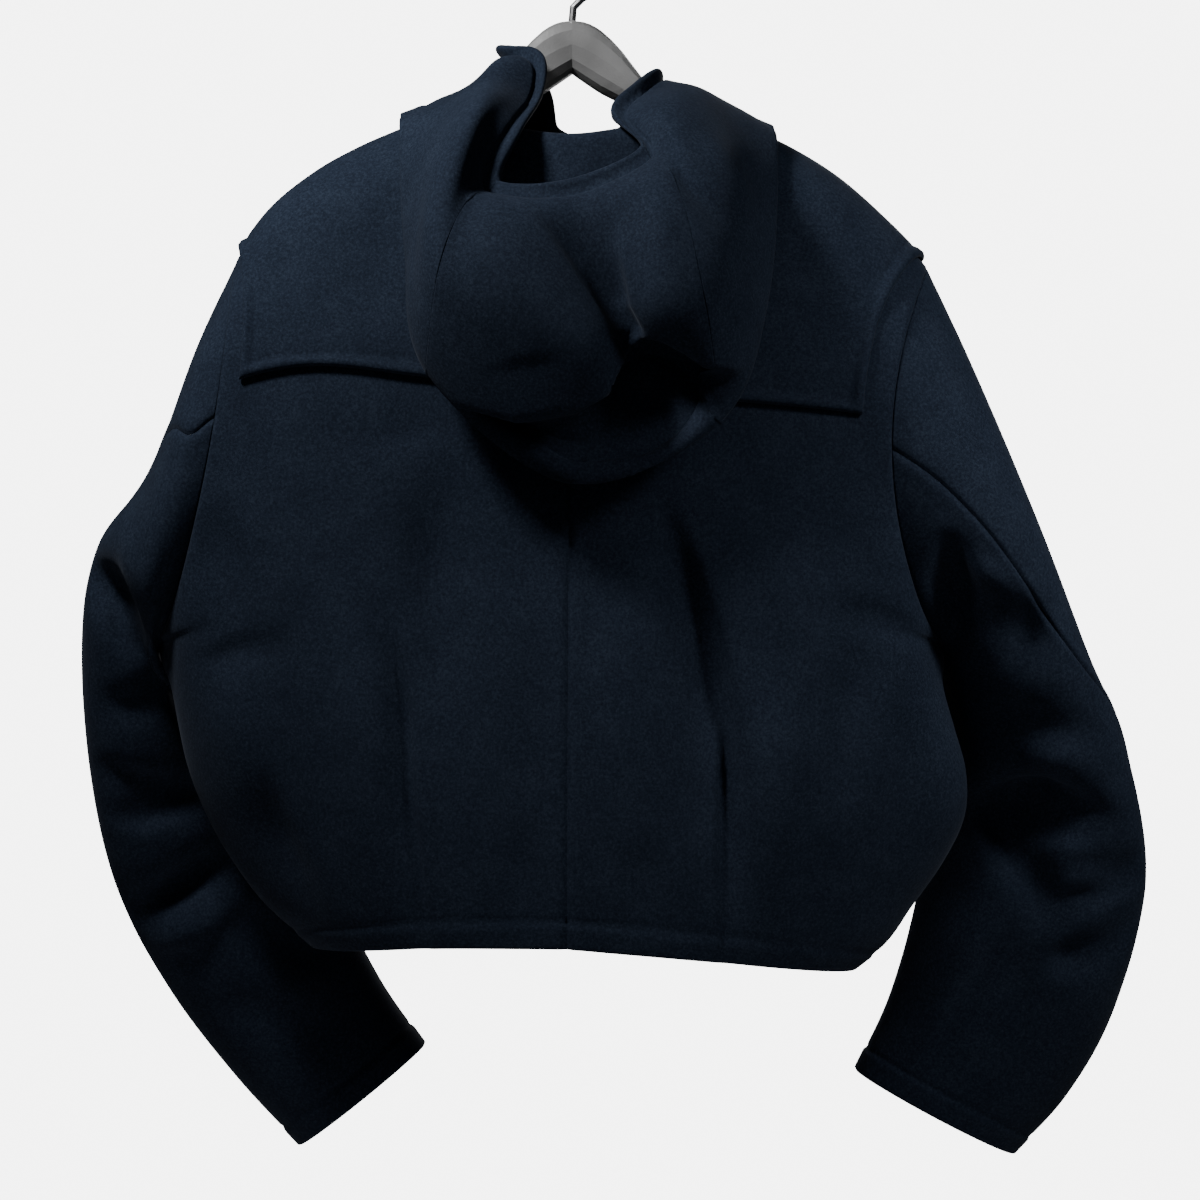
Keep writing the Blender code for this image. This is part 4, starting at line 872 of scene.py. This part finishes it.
def yoke_quarter(side, face):
    """The panel under a quarter of the yoke, from the yoke's bottom edge to the neck and the ridge."""
    widest = getattr(YOKE_SIDE[0], name_of(side))

    def surface(u, v):
        u = u * widest
        v = lerp(yoke_bottom(side, face, u), 1, np.sin(v * math.pi / 2))
        u = u * column(YOKE_SIDE, "v", name_of(side), v) / widest
        return front_point(side, u, v) if face == FRONT else body_point(side, face, u, v)

    rows, columns = half_spans(YOKE_GRID.down, YOKE_ROWS), half_spans(YOKE_GRID.across, YOKE_COLUMNS)
    return lined(surface, YOKE_GRID, (rows, 1 - columns[::-1]))


def dress_yoke(material):
    """The cape over both shoulders: four quarters, joined over the ridges and down the middle."""
    bases, quads, uvs, faces = [], [], [], ([], [], [])
    count = 0
    for side in (LEFT, RIGHT):
        for face in (BACK, FRONT):
            points = yoke_quarter(side, face)
            normals = turned(grid_normals(points), (0, face, 0))
            up, _, _, out = border_distance(points)
            edge = np.minimum(up, out)
            line = WELT_LINE * bell(edge / WELT_WIDTH - WELT_PLACE, WELT_SPREAD)
            height = FACE + roll_height(edge, WELT_WIDTH, WELT_RISE) - line
            bases.append(np.round(flat(points), 1))
            depth = crease_depth(points, YOKE_CREASES) * smooth(up / YOKE_FADE)
            points, normals = sink(points, normals, depth)
            outer, inner = layers(points + normals * LAYER, normals, height, edge)
            for gathered, grid in zip(faces, (outer, inner, normals)):
                gathered.append(flat(grid))
            uvs.append(flat(np.stack([out, up], axis=-1)))
            part = grid_quads(*height.shape) + count
            quads.append(part if side * face > 0 else part[:, ::-1])
            count += height.size
    _, first, index = np.unique(np.concatenate(bases), axis=0, return_index=True, return_inverse=True)
    index = index.reshape(-1)
    share = np.bincount(index)[:, None]
    outer, inner, normals = (
        np.stack([np.bincount(index, weights=line) for line in np.concatenate(grids).T], axis=-1) / share
        for grids in faces
    )
    uv = np.concatenate(uvs)[first]
    shell("cloth_yoke", "shoulder_yoke", outer, inner, index[np.concatenate(quads)], normals, uv, material)


def dress_sleeves(material):
    for side in (LEFT, RIGHT):
        seams, last = SLEEVE_SEAMS[side], len(SLEEVES[side]) - 1
        for part in ("under", "top"):

            def surface(share, down):
                ring = down * last
                back, front = (np.radians(column(seams, "ring", name, ring)) for name in ("back", "front"))
                start, end = (back, front) if part == "under" else (front - 2 * math.pi, back)
                return sleeve_point(side, ring, lerp(start, end, share))

            points = lined(surface, SLEEVE_GRID)
            top = border_distance(points)[0][..., None]
            points = lerp(points, relaxed(points, SLEEVE_TIMES), smooth((top - SLEEVE_HEAD) / SLEEVE_EASE))
            rings = np.linspace(0, last, len(points))
            centre = (ring_point(side, rings, 0) + ring_point(side, rings, math.pi)) / 2
            normals = grid_normals(points)
            normals = normals * np.sign(np.sum(normals * (points - centre[:, None])))
            depth = 0
            for face in (BACK, FRONT):
                facing = smooth(face * normals[..., 1] * SLEEVE_TURN)
                depth = depth + crease_depth(points, SLEEVE_CREASES[side, face]) * facing
            top, down, _, _ = border_distance(points)
            points, normals = sink(points, normals, depth * smooth(top / ARMHOLE_FADE))
            height = FACE + hem_height(down)
            cloth(f"{part}_sleeve_{name_of(side)}", points, normals, height, material, (2, 3))


def hood_recess(points):
    """How far the hood is sunk under its two rolls of cloth and between them."""
    x, z = points[..., 0], points[..., 2]
    under = smooth((np.interp(x, *HOOD_ROLLS) - z) / RECESS_EDGE) * smooth((z - RECESS_END) / RECESS_FADE)
    left, right = np.interp(-z, *SLOT_LEFT), np.interp(-z, *SLOT_RIGHT)
    between = smooth((x - left) / SLOT_EDGE) * smooth((right - x) / SLOT_EDGE)
    return np.maximum(under * RECESS_DEPTH, between * SLOT_DEPTH * smooth((SLOT_TOP - z) / SLOT_LENGTH))


def dress_hood(material):
    """The hood's three pieces, each from one rib to another, with the column nearest the hood's middle."""
    last = len(HOOD) - 1
    for node, start, end, grid, middle, pressed in (
        ("hood_side_left", 0, HOOD_SEAMS[0], HOOD_SIDE_GRID, -1, (3,)),
        ("hood_centre", *HOOD_SEAMS, HOOD_CENTRE_GRID, 0, (2, 3)),
        ("hood_side_right", HOOD_SEAMS[1], last, HOOD_SIDE_GRID, 0, (2,)),
    ):
        points = lined(lambda u, v: hood_point(lerp(start, end, u), v * HOOD_STEPS), grid)
        points = relaxed(points, HOOD_TIMES)
        normals = grid_normals(points)
        normals = normals * np.sign(-normals[int(len(points) * HOOD_BACK), middle, 1])
        up, to_rim, _, _ = border_distance(points)
        outside = smooth((up / (up + to_rim) - HOOD_OUTSIDE) / HOOD_BLEND)
        outside = outside * smooth(-normals[..., 1] * HOOD_TURN)
        depth = crease_depth(points, HOOD_CREASES) + hood_recess(points)
        points, normals = sink(points, normals, depth * outside * smooth(to_rim / RIM_FADE))
        rim = roll_height(to_rim, RIM_WIDTH, RIM_RISE)
        height = FACE + rim - RIM_GROOVE * bell(to_rim - RIM_WIDTH - 1, GROOVE_WIDTH)
        cloth(node, points, normals, height, material, pressed, rim * RIM_UNDER, 0)


def node_maker(owner):
    """A function that adds a shader node to a material's or world's emptied tree and sets its inputs."""
    owner.use_nodes = True
    tree = owner.node_tree
    tree.nodes.clear()

    def node(kind, inputs=None, **settings):
        made = tree.nodes.new("ShaderNode" + kind)
        for key, value in settings.items():
            setattr(made, key, value)
        for key, value in (inputs or {}).items():
            if isinstance(value, bpy.types.NodeSocket):
                tree.links.new(value, made.inputs[key])
            else:
                made.inputs[key].default_value = value
        return made

    return node


def ramp(node, fac, stops):
    made = node("ValToRGB", {"Fac": fac})
    elements = made.color_ramp.elements
    while len(elements) < len(stops):
        elements.new(0.5)
    for element, (place, colour) in zip(elements, stops):
        element.position = place
        element.color = (*colour, 1)
    return made.outputs["Color"]


def new_material(name):
    material = bpy.data.materials.new(name)
    return material, node_maker(material)


def finished(node, look):
    node("OutputMaterial", {"Surface": node("BsdfPrincipled", look).outputs["BSDF"]})


def wool():
    """Thick felted navy wool: a short matt nap, faint lumps and lighter fibres."""
    material, node = new_material("wool")
    place = node("TexCoord").outputs["Object"]
    lumps, fibres, pills = (
        node("TexNoise", {"Vector": place, "Scale": scale, "Detail": detail, "Roughness": rough}).outputs[0]
        for scale, detail, rough in ((34, 3, 0.55), (560, 4, 0.75), (210, 3, 0.65))
    )
    faint = node("Math", {0: lumps, 1: 0.16}, operation="MULTIPLY").outputs[0]
    mixed = node("Math", {0: fibres, 1: 0.84, 2: faint}, operation="MULTIPLY_ADD").outputs[0]
    dark, middle, light = (0.0040, 0.0072, 0.0150), (0.0088, 0.0142, 0.0268), (0.0180, 0.0265, 0.0440)
    fine = node("Bump", {"Height": fibres, "Strength": 0.22, "Distance": 0.0005}).outputs["Normal"]
    coarse = node("Bump", {"Height": pills, "Strength": 0.2, "Distance": 0.001, "Normal": fine})
    look = {
        "Base Color": ramp(node, mixed, [(0.36, dark), (0.5, middle), (0.64, light)]),
        "Roughness": node("MapRange", {"Value": fibres, "To Min": 0.82, "To Max": 1}).outputs["Result"],
        "Normal": coarse.outputs["Normal"],
        "Specular IOR Level": 0.12,
        "Sheen Weight": 0.03,
        "Sheen Roughness": 0.4,
        "Sheen Tint": (0.7, 0.8, 1, 1),
    }
    finished(node, look)
    return material


def moulded(name, colour, roughness, metallic=0, grain=0.0004, scale=700, coat=0):
    """Plastic, horn, leather or metal with a fine grain and uneven gloss."""
    material, node = new_material(name)
    place = node("TexCoord").outputs["Object"]
    fine, broad = (node("TexNoise", {"Vector": place, "Scale": s, "Detail": 3}).outputs[0] for s in (scale, 30))
    dark, light = [c * 0.8 for c in colour], [min(c * 1.15, 1) for c in colour]
    gloss = {"Value": broad, "To Min": roughness * 0.8, "To Max": min(roughness * 1.25, 1)}
    bump = node("Bump", {"Height": fine, "Strength": 0.4, "Distance": grain})
    look = {
        "Base Color": ramp(node, broad, [(0.3, dark), (0.7, light)]),
        "Roughness": node("MapRange", gloss).outputs["Result"],
        "Metallic": metallic,
        "Normal": bump.outputs["Normal"],
        "Coat Weight": coat,
    }
    finished(node, look)
    return material


def paint(nodes, material):
    for name in nodes:
        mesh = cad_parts[name].data
        mesh.materials.clear()
        mesh.materials.append(material)
        mesh.shade_smooth()


def add_camera():
    camera = linked("camera", bpy.data.cameras.new("camera"))
    camera.location = Vector(CAMERA) * MM
    camera.rotation_euler = (math.pi / 2, 0, 0)
    camera.data.sensor_width = SENSOR
    camera.data.lens = SENSOR * VIEW_AWAY / VIEW_WIDTH
    bpy.context.scene.camera = camera


def add_studio():
    """A pale floor and backdrop, and the lamps."""
    world = bpy.data.worlds.new("studio")
    bpy.context.scene.world = world
    node = node_maker(world)
    seen = node("Background", {"Color": (1, 1, 1, 1), "Strength": SKY_SEEN}).outputs[0]
    lit = node("Background", {"Color": (0.9, 0.95, 1, 1), "Strength": SKY_LIT}).outputs[0]
    to_camera = node("LightPath").outputs["Is Camera Ray"]
    node("OutputWorld", {"Surface": node("MixShader", {0: to_camera, 1: lit, 2: seen}).outputs[0]})
    for lamp in LAMPS:
        data = bpy.data.lights.new(lamp.name, "AREA")
        data.size = lamp.size
        data.energy = lamp.watts
        data.spread = math.radians(lamp.spread)
        made = linked(lamp.name, data)
        made.location = lamp.place
        made.rotation_euler = (Vector(lamp.target) - Vector(lamp.place)).to_track_quat("-Z", "Y").to_euler()
    bpy.ops.object.select_all(action="DESELECT")
    bpy.ops.mesh.primitive_circle_add(
        vertices=FLOOR_SIDES, radius=FLOOR_RADIUS, fill_type="NGON", location=(0, 0, FLOOR_Z)
    )
    floor = bpy.context.object
    floor.name = "floor"
    pale, node = new_material("pale_floor")
    finished(node, {"Base Color": (0.8, 0.8, 0.8, 1), "Roughness": 0.8})
    floor.data.materials.append(pale)


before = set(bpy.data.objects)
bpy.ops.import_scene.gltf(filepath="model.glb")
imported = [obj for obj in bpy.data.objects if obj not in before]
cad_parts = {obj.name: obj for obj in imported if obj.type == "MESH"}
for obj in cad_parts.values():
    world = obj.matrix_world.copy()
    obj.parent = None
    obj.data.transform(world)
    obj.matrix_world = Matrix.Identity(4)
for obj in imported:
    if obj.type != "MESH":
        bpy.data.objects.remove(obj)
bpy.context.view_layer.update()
add_camera()
WOOL = wool()
dress_body(WOOL)
dress_yoke(WOOL)
dress_sleeves(WOOL)
dress_hood(WOOL)
paint(["hanger"], moulded("hanger_plastic", (0.2, 0.2, 0.2), 0.42))
paint(["hanger_hook"], moulded("hook_metal", (0.72, 0.72, 0.73), 0.18, metallic=1, grain=0.00005))
horn = moulded("toggle_horn", (0.06, 0.036, 0.02), 0.3, coat=0.4, scale=90)
paint([f"toggle_{n}" for n in (1, 2, 3)], horn)
cords = [f"{kind}_cord_{n}" for kind in ("toggle", "loop") for n in (1, 2, 3)]
paint(cords, moulded("cord", (0.012, 0.016, 0.026), 0.85, scale=900))
tabs = [f"tab_{side}_{n}" for side in ("left", "right") for n in (1, 2, 3)]
paint(tabs, moulded("leather", (0.012, 0.011, 0.011), 0.5, scale=400))
add_studio()
